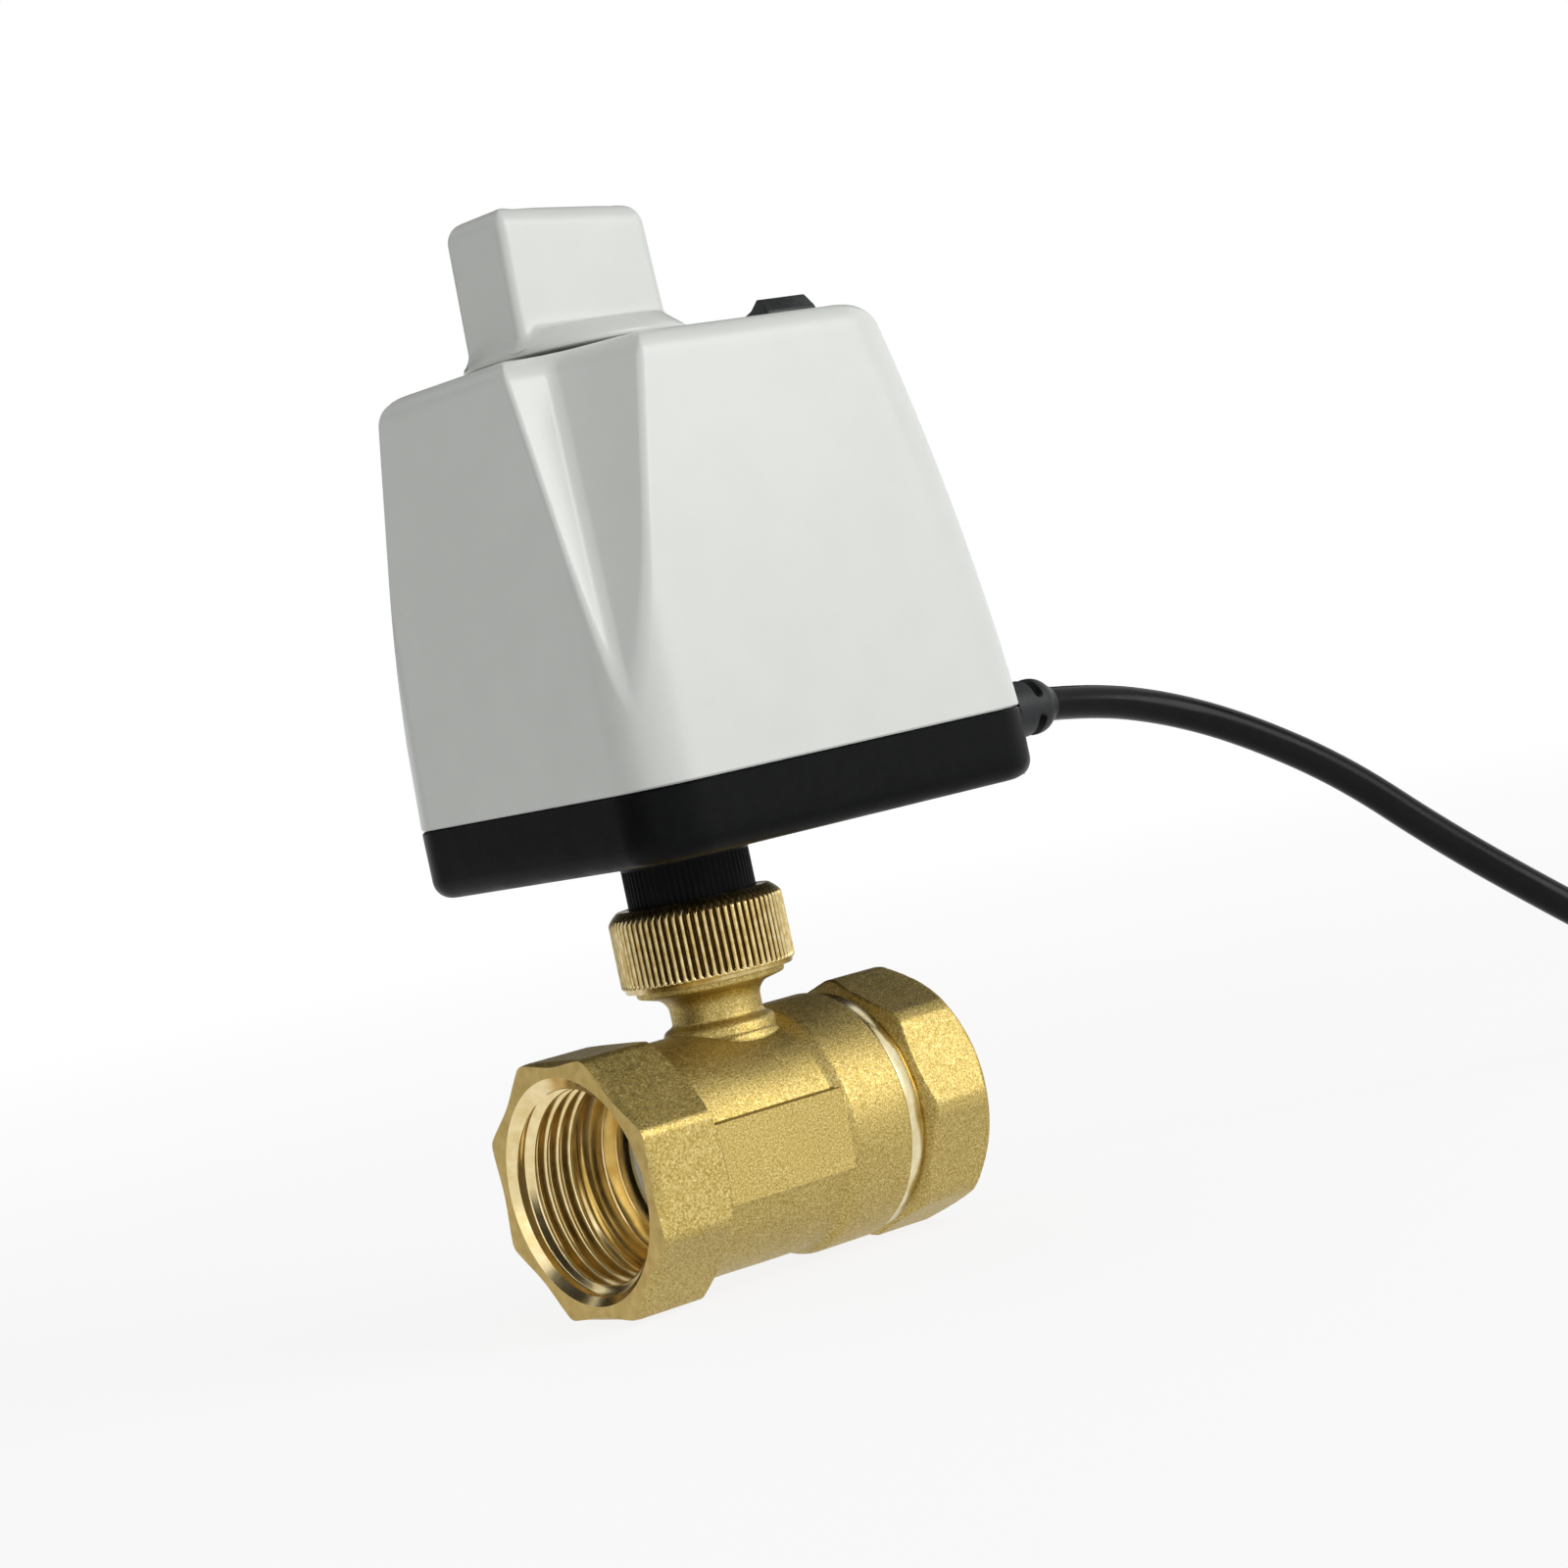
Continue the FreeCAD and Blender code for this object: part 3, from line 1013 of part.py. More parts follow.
def coil_path():
    """A flat spiral of half circles that draws in to the left, with straight ends."""
    end, before = V(*CORD_ROUTE[-1]), V(*CORD_ROUTE[-2])
    along = (end - before).normalize()
    lead_in = 2 * size("cord_radius")
    radius = size("coil_radius") + 0.75 * size("coil_pitch")
    spot = end + along * lead_in
    edges = [Part.LineSegment(end, spot).toShape()]
    least = radius
    for half in range(int(size("coil_half_turns"))):
        inward = V(-along.y, along.x, 0)
        centre = spot + inward * radius
        far = centre + inward * radius
        edges.append(Part.Arc(spot, centre + along * radius, far).toShape())
        spot, along, least = far, -along, radius
        radius -= size("coil_pitch") / 2
    edges.append(Part.LineSegment(spot, spot + along * size("cord_radius")).toShape())
    print("coil least radius", round(least, 2))
    return Part.Wire(edges)


def least_gap(path, radius):
    """The least gap of a tube to itself, on points along its path."""
    points = path.discretize(Distance=1.0)
    skip = int(8 * radius)
    gap = 1000.0
    for index, spot in enumerate(points):
        for other in points[index + skip:]:
            gap = min(gap, (spot - other).Length - 2 * radius)
    return gap


def make_cord():
    """The cord's free run, the coil that it ends in and its three bare core leads."""
    run = doc.addObject("Part::Feature", "cable_run")
    path = cord_path(CORD_ROUTE)
    radius = size("cord_radius")
    tube = swept(path, radius)
    section = math.pi * radius * radius
    print("cord run length", round(path.Length, 1), "volume share", round(tube.Volume / section / path.Length, 4))
    run.Shape = tube
    run.Label = "cable_run"
    coil = doc.addObject("Part::Feature", "cable_coil")
    winding = coil_path()
    print("coil length", round(winding.Length, 1), "least gap", round(least_gap(winding, radius), 2))
    coil.Shape = swept(winding, radius)
    coil.Label = "cable_coil"
    last = winding.Edges[-1]
    spot = last.valueAt(last.LastParameter)
    along = last.tangentAt(last.LastParameter)
    inward = V(-along.y, along.x, 0)
    leads = []
    for step in (-1, 0, 1):
        bend = size("lead_bend - %d * lead_bend_step" % step)
        start = spot + inward * step * size("lead_side")
        start.z += size("lead_lift") if step == 0 else -size("lead_drop")
        centre = start + inward * bend
        sweep = size("lead_length") / bend
        halfway = centre - inward * bend * math.cos(sweep / 2) + along * bend * math.sin(sweep / 2)
        finish = centre - inward * bend * math.cos(sweep) + along * bend * math.sin(sweep)
        arc = Part.Wire([Part.Arc(start, halfway, finish).toShape()])
        leads.append(swept(arc, size("lead_radius")))
    cores = doc.addObject("Part::Feature", "core_leads")
    cores.Shape = Part.makeCompound(leads)
    cores.Label = "core_leads"


PIECES = [
    "valve_body", "end_cap", "seat_inlet", "seat_outlet", "ball", "stem", "stem_washer",
    "stem_o_rings", "union_nut", "nut_keeper_ring", "neck_gasket", "neck_bush", "base_tray",
    "cover_shell", "shaft_bush", "manual_knob", "output_shaft", "output_gear", "idler_gear",
    "idler_axle", "motor_pinion", "motor_shaft", "lower_gear_plate", "upper_gear_plate",
    "plate_pillars", "motor", "open_cam", "closed_cam", "open_switch", "closed_switch",
    "circuit_board", "terminal_block", "rocker_bezel", "rocker_paddle", "cover_screws",
    "strain_relief", "cable_run", "cable_coil", "core_leads",
]


def write_pieces():
    """Check every object and every piece, then write each piece's own file."""
    doc.recompute()
    for item in doc.Objects:
        if "Invalid" in item.State or "Error" in item.State:
            raise RuntimeError("%s is %s" % (item.Label, item.State))
    os.makedirs("parts", exist_ok=True)
    for label in PIECES:
        piece = doc.getObjectsByLabel(label)[0]
        shape = piece.Shape
        if shape.isNull() or not shape.isValid() or not shape.Solids:
            raise RuntimeError("%s has no sound solid" % label)
        shape.exportStep("parts/%s.step" % label)
        box = shape.BoundBox
        print("%-18s %2d solids %9.1f mm3  x %7.2f %7.2f  y %7.2f %7.2f  z %7.2f %7.2f" % (
            label, len(shape.Solids), shape.Volume, box.XMin, box.XMax, box.YMin, box.YMax,
            box.ZMin, box.ZMax))


def main():
    """Build the whole part."""
    fill_sheet()
    make_valve_body()
    make_end_cap()
    make_seat("seat_inlet", "-" + SEAT_END)
    make_seat("seat_outlet", SEAT_START)
    make_ball()
    make_stem()
    make_stem_seals()
    make_union_nut()
    make_neck_rings()
    make_bushes()
    make_base_tray()
    make_cover_shell()
    make_manual_knob()
    make_output_shaft()
    make_gears()
    make_gear_frame()
    make_motor()
    make_control()
    make_rocker()
    make_cover_screws()
    make_strain_relief()
    make_cord()
    write_pieces()


main()
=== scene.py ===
import json
import math

import bmesh
import bpy
import numpy as np
from mathutils import Matrix, Vector


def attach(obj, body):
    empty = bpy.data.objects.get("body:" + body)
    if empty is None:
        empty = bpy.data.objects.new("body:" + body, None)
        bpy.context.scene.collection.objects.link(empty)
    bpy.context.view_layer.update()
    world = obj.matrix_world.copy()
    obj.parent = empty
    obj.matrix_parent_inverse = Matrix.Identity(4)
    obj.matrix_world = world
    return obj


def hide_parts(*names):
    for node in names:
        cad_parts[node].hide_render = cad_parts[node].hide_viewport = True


# Motorized ball valve: brass body with threaded ports, knurled union nut, black tray, pale cover
# with a manual knob and a rocker switch, and a black cord. Lengths are millimetres from the
# crossing of the stem's axis (Z) and the pipe's axis (X), unless a comment says otherwise.

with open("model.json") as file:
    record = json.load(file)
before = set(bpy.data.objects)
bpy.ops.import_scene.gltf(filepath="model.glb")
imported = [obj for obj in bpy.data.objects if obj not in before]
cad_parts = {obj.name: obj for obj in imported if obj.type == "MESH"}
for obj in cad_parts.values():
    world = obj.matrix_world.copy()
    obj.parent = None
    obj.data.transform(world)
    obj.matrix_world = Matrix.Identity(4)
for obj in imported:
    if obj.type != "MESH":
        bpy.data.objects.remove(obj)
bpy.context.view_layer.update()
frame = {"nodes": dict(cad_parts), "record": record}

MM = 0.001
CROSSING = np.array([-8.55, 0.0, 20.85])
TURN = 2.0 * math.pi

# Camera: its place in metres, its angles, and its lens and sensor in millimetres
CAMERA_PLACE = (-0.373797, -0.484023, 0.089347)
AZIMUTH = math.radians(-38.705)
ELEVATION = math.radians(1.441)
ROLL = math.radians(-12.015)
LENS = 89.363
SENSOR = 36.0


def show(piece):
    """Put an object in the scene."""
    bpy.context.scene.collection.objects.link(piece)


def make_camera():
    """The camera at the photograph's place, with its roll."""
    back = Vector((math.sin(AZIMUTH) * math.cos(ELEVATION),
                   -math.cos(AZIMUTH) * math.cos(ELEVATION), math.sin(ELEVATION)))
    level = Vector((math.cos(AZIMUTH), math.sin(AZIMUTH), 0.0))
    over = back.cross(level)
    right = level * math.cos(ROLL) + over * math.sin(ROLL)
    up = over * math.cos(ROLL) - level * math.sin(ROLL)
    camera = bpy.data.objects.new("camera", bpy.data.cameras.new("camera"))
    camera.data.lens = LENS
    camera.data.sensor_width = SENSOR
    turned = Matrix((right, up, back)).transposed().to_4x4()
    camera.matrix_world = Matrix.Translation(CAMERA_PLACE) @ turned
    show(camera)
    bpy.context.scene.camera = camera
    bpy.context.scene.view_settings.view_transform = "Standard"


# Finishes

# The middle range of the noise, over which a finish's colours and gloss are spread
NOISE_LOW = 0.3
NOISE_HIGH = 0.7


def linear(code, alpha=1.0):
    """The linear colour of an sRGB hex code."""
    parts = [int(code[i:i + 2], 16) / 255.0 for i in (1, 3, 5)]
    solved = [p / 12.92 if p <= 0.04045 else ((p + 0.055) / 1.055) ** 2.4 for p in parts]
    return (*solved, alpha)


def add(tree, kind, inputs=None, **settings):
    """One node with its settings; an input is a number, a colour or another node's output."""
    made = tree.nodes.new(kind)
    for key, value in settings.items():
        setattr(made, key, value)
    for key, value in (inputs or {}).items():
        if isinstance(value, bpy.types.NodeSocket):
            tree.links.new(value, made.inputs[key])
        else:
            made.inputs[key].default_value = value
    return made


def noise(tree, spots, grain, detail=3.0, rough=0.55):
    """Noise with a grain in millimetres."""
    made = add(tree, "ShaderNodeTexNoise", {"Vector": spots, "Scale": 1.0 / (grain * MM),
                                            "Detail": detail, "Roughness": rough})
    return made.outputs["Fac"]


def ramp(tree, value, codes):
    """Hex colours spread evenly over the middle range of a value."""
    made = add(tree, "ShaderNodeValToRGB", {"Fac": value})
    while len(made.color_ramp.elements) < len(codes):
        made.color_ramp.elements.new(0.5)
    spots = np.linspace(NOISE_LOW, NOISE_HIGH, len(codes))
    for element, spot, code in zip(made.color_ramp.elements, spots, codes):
        element.position = spot
        element.color = linear(code)
    return made.outputs["Color"]


def spread(tree, value, low, high, start=NOISE_LOW, end=NOISE_HIGH):
    """A value's middle range carried to another range."""
    made = add(tree, "ShaderNodeMapRange", {"Value": value, "From Min": start, "From Max": end,
                                            "To Min": low, "To Max": high})
    return made.outputs["Result"]


def surface(name, codes, grain, rough, metal=0.0, bump=0.02, bump_grain=None, stretch=None, **sockets):
    """A finish with grained colour, uneven gloss and a fine relief.

    codes: hex colours along the noise. grain: the colour's grain in mm. rough: lowest and highest
    roughness. bump: relief in mm with its own grain. stretch: the relief's scale along X, Y, Z.
    """
    made = bpy.data.materials.new(name)
    made.use_nodes = True
    tree = made.node_tree
    shader = tree.nodes["Principled BSDF"]
    spots = add(tree, "ShaderNodeTexCoord").outputs["Object"]
    colour = ramp(tree, noise(tree, spots, grain), codes)
    tree.links.new(colour, shader.inputs["Base Color"])
    gloss = spread(tree, noise(tree, spots, grain * 3.0), rough[0], rough[1])
    tree.links.new(gloss, shader.inputs["Roughness"])
    along = spots
    if stretch:
        along = add(tree, "ShaderNodeMapping", {"Vector": spots, "Scale": stretch}).outputs["Vector"]
    relief = noise(tree, along, bump_grain or grain, detail=2.0)
    lifted = add(tree, "ShaderNodeBump", {"Height": relief, "Distance": bump * MM, "Strength": 1.0})
    tree.links.new(lifted.outputs["Normal"], shader.inputs["Normal"])
    shader.inputs["Metallic"].default_value = metal
    for key, value in sockets.items():
        shader.inputs[key.replace("_", " ")].default_value = value
    return made


def make_materials():
    """Every finish of the part, by a short name."""
    made = {}
    # Sand-blasted brass: dull gold with fine bright and dark grains
    made["cast"] = surface("blasted_brass", ("#94803f", "#b9a25e", "#d6c58d"), 0.32, (0.42, 0.56), 1.0,
                           bump=0.05, bump_grain=0.3)
    # Turned brass: shiny gold with fine rings from the lathe
    made["turned"] = surface("turned_brass", ("#d8c58c", "#f2e6bf"), 3.0, (0.16, 0.27), 1.0, bump=0.006,
                             bump_grain=0.25, stretch=(1.0, 0.02, 0.02))
    # Bored and threaded brass: shiny deep gold
    made["bore"] = surface("bored_brass", ("#e0c88a", "#f4e2b2"), 3.0, (0.16, 0.27), 1.0, bump=0.004,
                           bump_grain=0.25, stretch=(1.0, 0.02, 0.02))
    # Faced brass of the port's ring: dull gold
    made["faced"] = surface("faced_brass", ("#ae9454", "#c4aa6a"), 2.0, (0.26, 0.38), 1.0, bump=0.01,
                            bump_grain=0.4)
    # Knurled nut: smooth pale brass with soft wear
    made["nut"] = surface("drawn_brass", ("#bfa463", "#e9d7a4"), 1.4, (0.24, 0.38), 1.0, bump=0.012,
                          bump_grain=0.5, stretch=(1.0, 1.0, 0.12))
    # Bottoms of the nut's grooves: brass darkened with painted shade
    made["groove"] = surface("groove_painted_shade_brass", ("#3b2d14", "#5e4a26"), 0.5, (0.4, 0.55), 1.0, bump=0.01,
                             bump_grain=0.3)
    # Chromed ball: mirror polish, its colour darkened with painted shade from the bore around it
    made["chrome"] = surface("chromed_brass", ("#5f5a48", "#7a7460"), 4.0, (0.06, 0.14), 1.0,
                             bump=0.002)
    # White sealing plastic: dull, slightly warm white
    made["seal"] = surface("sealing_plastic", ("#dcdcd6", "#ecebe6"), 1.5, (0.4, 0.5))
    # Plated steel: light grey with a satin gloss
    made["steel"] = surface("plated_steel", ("#a9abac", "#c9cbcc"), 1.2, (0.26, 0.4), 1.0, bump=0.006)
    # Pale moulded plastic of cover and knob: slightly green grey with a fine spark texture
    for key, codes in (("pale", ("#dfe2dd", "#e2e5e0")), ("knob", ("#dcdfda", "#dfe2dd"))):
        made[key] = surface(key + "_moulded_plastic", codes, 9.0, (0.27, 0.34), bump=0.012,
                            bump_grain=0.6)
    # Black moulded plastic of the tray: nearly black with a fine mat texture
    made["black"] = surface("black_moulded_plastic", ("#08090a", "#0e0f10"), 1.6, (0.34, 0.46),
                            bump=0.02, bump_grain=0.5, Specular_IOR_Level=0.07)
    # Black flexible plastic: dark grey and dull on the boot, blacker and glossier on the cord
    made["boot"] = surface("black_flexible_plastic", ("#1a1b1c", "#262829"), 1.0, (0.38, 0.5),
                           bump=0.02, bump_grain=0.45, Specular_IOR_Level=0.3)
    made["cord"] = surface("black_cord_sheath", ("#070708", "#0e0f10"), 2.2, (0.2, 0.3), bump=0.015,
                           bump_grain=0.8, Specular_IOR_Level=0.14)
    # Black switch plastic: dark grey and dull
    made["rocker"] = surface("black_switch_plastic", ("#202122", "#303233"), 0.8, (0.4, 0.5),
                             bump=0.012, bump_grain=0.4, Specular_IOR_Level=0.4)
    # Inner pieces: dull black rubber, satin green board and terminals, off-white gears
    made["rubber"] = surface("black_rubber", ("#161616", "#222222"), 0.9, (0.6, 0.75))
    made["board"] = surface("green_circuit_board", ("#1f5a34", "#2c7145"), 2.0, (0.3, 0.42))
    made["terminal"] = surface("green_terminal_plastic", ("#2c8a4d", "#38a05c"), 1.5, (0.35, 0.45))
    made["gear"] = surface("white_gear_plastic", ("#d9d6c8", "#e6e3d8"), 1.5, (0.35, 0.45))
    # Cores: satin coloured sheaths, and bright bare copper with a fine relief
    for key, codes in (("brown", ("#5a3620", "#6f452b")), ("blue", ("#22508f", "#2f63a8")),
                       ("yellow", ("#b9a51f", "#cdb92c"))):
        made[key] = surface(key + "_core_sheath", codes, 0.8, (0.35, 0.45))
    made["copper"] = surface("bare_copper", ("#b8704a", "#d79168"), 0.3, (0.25, 0.38), 1.0, bump=0.03,
                             bump_grain=0.2)
    return made


# Helpers for meshes

# How often a ray's end is halved, and how far a level ray looks for a wall
HALVINGS = 34
LEVEL_REACH = 90.0
# How far inside a rounded edge the rays that turn over it start, in shares of its rounding
HINGE_SHARE = 1.1


def in_frame(points):
    """Points in millimetres from the crossing, as metres in the part's frame."""
    return (np.asarray(points, float) + CROSSING) * MM


def register(piece, body, nodes):
    """Put a piece in the scene, on its body, for the CAD nodes that it stands for."""
    show(piece)
    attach(piece, body)
    if nodes:
        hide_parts(*nodes)
    return piece


def link(name, mesh, body, nodes, materials, sharp=38.0):
    """A piece from a finished mesh: smooth, with edges over an angle in degrees kept sharp."""
    for item in materials:
        mesh.materials.append(item)
    mesh.shade_smooth()
    mesh.set_sharp_from_angle(angle=math.radians(sharp))
    return register(bpy.data.objects.new(name, mesh), body, nodes)


def grid_mesh(name, grid, close_rows=True, finish=None):
    """A closed mesh from rows of points in mm; every row closes round, poles and seams are merged.

    finish: the material's number for every row, or for every row and column.
    """
    rows, columns = grid.shape[:2]
    spots = in_frame(grid.reshape(-1, 3))
    last = rows if close_rows else rows - 1
    row, column = np.meshgrid(np.arange(last), np.arange(columns), indexing="ij")
    below = (row + 1) % rows
    beside = (column + 1) % columns
    quads = np.stack([row * columns + column, row * columns + beside,
                      below * columns + beside, below * columns + column], axis=-1).reshape(-1, 4)
    mesh = bpy.data.meshes.new(name)
    mesh.from_pydata(spots.tolist(), [], quads.tolist())
    if finish is not None:
        numbers = finish if finish.ndim == 2 else np.repeat(finish[:, None], columns, axis=1)
        mesh.polygons.foreach_set("material_index", numbers[:last].ravel().astype(np.int32))
    work = bmesh.new()
    work.from_mesh(mesh)
    bmesh.ops.remove_doubles(work, verts=work.verts, dist=1e-7)
    bmesh.ops.recalc_face_normals(work, faces=work.faces)
    work.to_mesh(mesh)
    work.free()
    return mesh


def smooth_step(value, low, high):
    """0 below low, 1 above high, with a soft rise between."""
    share = np.clip((value - low) / (high - low), 0.0, 1.0)
    return share * share * (3.0 - 2.0 * share)


def rounded_max(one, other, radius):
    """The larger of two distances, with their edge rounded to a radius."""
    over = np.hypot(np.maximum(radius + one, 0.0), np.maximum(radius + other, 0.0))
    return np.minimum(-radius, np.maximum(one, other)) + over


def rounded_min(one, other, radius):
    """The smaller of two distances, with their hollow filled to a radius."""
    return -rounded_max(-one, -other, radius)


def soften(points, radius, steps=4):
    """A profile of (along, out) corners with each corner cut by a small arc of its own radius."""
    made = []
    for index, corner in enumerate(points):
        spot = np.array(corner[:2], float)
        bend = corner[2] if len(corner) > 2 else radius
        if index in (0, len(points) - 1) or bend <= 0.0:
            made.append(spot)
            continue
        before = np.array(points[index - 1][:2], float) - spot
        after = np.array(points[index + 1][:2], float) - spot
        reach = min(bend, 0.45 * np.linalg.norm(before), 0.45 * np.linalg.norm(after))
        start = spot + before / np.linalg.norm(before) * reach
        end = spot + after / np.linalg.norm(after) * reach
        for share in np.linspace(0.0, 1.0, steps):
            one = start + (spot - start) * share
            two = spot + (end - spot) * share
            made.append(one + (two - one) * share)
    return np.array(made)


def solve_rays(depth, starts, ways, reach):
    """Where rays leave a solid, found by halving; depth is below 0 inside and above 0 outside."""
    near = np.zeros(starts.shape[:-1])
    far = np.full(starts.shape[:-1], float(reach))
    for _ in range(HALVINGS):
        middle = 0.5 * (near + far)
        inside = depth(starts + ways * middle[..., None]) < 0.0
        near = np.where(inside, middle, near)
        far = np.where(inside, far, middle)
    return starts + ways * far[..., None]


def around(count):
    """Even angles round an axis."""
    return np.arange(count) * TURN / count


def level_ways(angles):
    """Level directions at some angles about the stem's axis."""
    return np.stack([np.cos(angles), np.sin(angles), np.zeros_like(angles)], axis=-1)


def edge_rows(depth, hinge, out, lifts, reach):
    """Rows over an edge, met by rays from a hinge row, lifted from level by angles in degrees."""
    rows = []
    for lift in np.radians(lifts):
        ways = out * math.cos(lift)
        ways[:, 2] = math.sin(lift)
        rows.append(solve_rays(depth, hinge, ways, reach))
    return rows


# Cover, tray and knob

# Heights of the seam between tray and cover, and of the lid
PARTING = 57.5
COVER_TOP = 124.1
# The outline at the seam: reach to the nose (-X) and to the cord's end (+X), half width, corner, wall
TRAY_REAR = 28.8
TRAY_REACH = 50.2
HALF = 34.05
CORNER = 10.0
WALL = 2.2
# How far the nose and each side lean in between the seam and the lid
NOSE_LEAN = 1.6
SIDE_LEAN = 2.05
# Radius of the end's bow, how far under the seam its centre lies, and the lid's rounding
BOW = 333.0
BOW_DROP = 25.0
TOP_EDGE = 4.0
# The groove's bottom line as a point and a run, a run on its outer face, and its two roundings
GROOVE_START = np.array([-19.4, 18.5, 118.0])
GROOVE_RUN = np.array([-7.1, 10.6, -46.0])
GROOVE_FLANK = np.array([6.5, 14.5, 0.0])
RIDGE = 0.9
VALLEY = 1.3
# Half the gap at the seam, the bevel beside it, and the share by which the cover's foot is set in
SEAM_GAP = 0.06
SEAM_BEVEL = 0.35
FOOT_SHARE = 0.3 / 40.0
# Points in each row of the cover and of the tray
COLUMNS = 600
# The rocker's pin, under the middle of its window in the lid
SWITCH_PLACE = (26.5, -15.9, 121.3)
# Half sizes of the window's cutting box, and how far round it the lid's faces are split
WINDOW_HALVES = (5.5, 7.5, 8.0)
WINDOW_MARGIN = 4.0


def outline_depth(points, inset):
    """Depth inside the housing's upright outline with its rounded corners, set in by a wall."""
    x, y, z = points[..., 0], points[..., 1], points[..., 2]
    rise = np.clip((z - PARTING) / (COVER_TOP - PARTING), 0.0, 1.0)
    side = np.abs(y) - (HALF - SIDE_LEAN * rise) + inset
    rear = NOSE_LEAN * rise - TRAY_REAR - x + inset
    centre = TRAY_REACH - math.sqrt(BOW ** 2 - BOW_DROP ** 2)
    front = np.hypot(x - centre, np.maximum(z - PARTING, 0.0) + BOW_DROP) - BOW + inset
    return rounded_max(np.maximum(rear, front), side, CORNER - inset)


def cover_depth(points, inset=0.0):
    """Depth inside the cover's form: drafted block, bowed end, and a groove at each nose side."""
    depth = outline_depth(points, inset)
    mirrored = np.stack([points[..., 0], np.abs(points[..., 1]), points[..., 2]], axis=-1)
    inner_face = np.cross(GROOVE_RUN, (1.0, 0.0, 0.0))
    outer_face = np.cross(GROOVE_RUN, GROOVE_FLANK)
    inner_face *= np.sign(inner_face[1]) / np.linalg.norm(inner_face)
    outer_face *= -np.sign(outer_face[0]) / np.linalg.norm(outer_face)
    away = mirrored - GROOVE_START
    groove = rounded_min(away @ inner_face, away @ outer_face, VALLEY) + inset
    depth = rounded_max(depth, groove, RIDGE)
    return rounded_max(depth, points[..., 2] - COVER_TOP + inset, TOP_EDGE)


def even_angles(depth, height, count, bend_weight=0.0):
    """Angles about the stem's axis that space an outline's points evenly, denser where it bends."""
    fine = np.linspace(0.0, TURN, 4 * COLUMNS + 1)
    ways = level_ways(fine)
    starts = np.zeros_like(ways)
    starts[:, 2] = height
    spots = solve_rays(depth, starts, ways, LEVEL_REACH)
    moves = np.diff(spots, axis=0)
    steps = np.linalg.norm(moves, axis=1)
    headings = np.unwrap(np.arctan2(moves[:, 1], moves[:, 0]))
    bends = np.abs(np.diff(headings, append=headings[0] + TURN))
    travelled = np.concatenate([[0.0], np.cumsum(steps + bend_weight * bends)])
    return np.interp(np.arange(count) * travelled[-1] / count, travelled, fine)


def level_row(depth, angles, height):
    """The outline of a form at one height, met by level rays from the stem's axis."""
    ways = level_ways(angles)
    starts = np.zeros_like(ways)
    starts[:, 2] = height
    return solve_rays(depth, starts, ways, LEVEL_REACH)


def ring(angles, radius, height):
    """A circle about the stem's axis."""
    return np.stack([radius * np.cos(angles), radius * np.sin(angles),
                     np.full_like(angles, height)], axis=-1)


def blend_rows(start, end, shares):
    """Rows between two rows, at some shares of the way."""
    return [start + (end - start) * share for share in shares]


def cut_window(mesh):
    """The switch's window: the lid is split along four planes, opened, and walled between."""
    work = bmesh.new()
    work.from_mesh(mesh)
    middle = Vector(in_frame([SWITCH_PLACE])[0])
    halves = Vector(WINDOW_HALVES) * MM

    def within(face, margin):
        """Whether a face's middle lies in the window's box, grown by a margin."""
        away = face.calc_center_median() - middle
        return all(abs(away[axis]) < halves[axis] + margin for axis in range(3))

    for axis, side in ((0, -1.0), (0, 1.0), (1, -1.0), (1, 1.0)):
        outward = Vector((0.0, 0.0, 0.0))
        outward[axis] = side
        parts = set()
        for face in work.faces:
            if within(face, WINDOW_MARGIN * MM):
                parts.update([face, *face.edges, *face.verts])
        bmesh.ops.bisect_plane(work, geom=list(parts), dist=1e-4 * MM,
                               plane_co=middle + outward * halves[axis], plane_no=outward)
    opened = [face for face in work.faces if within(face, 0.0)]
    bmesh.ops.delete(work, geom=opened, context="FACES")
    bmesh.ops.bridge_loops(work, edges=[edge for edge in work.edges if edge.is_boundary])
    work.to_mesh(mesh)
    work.free()


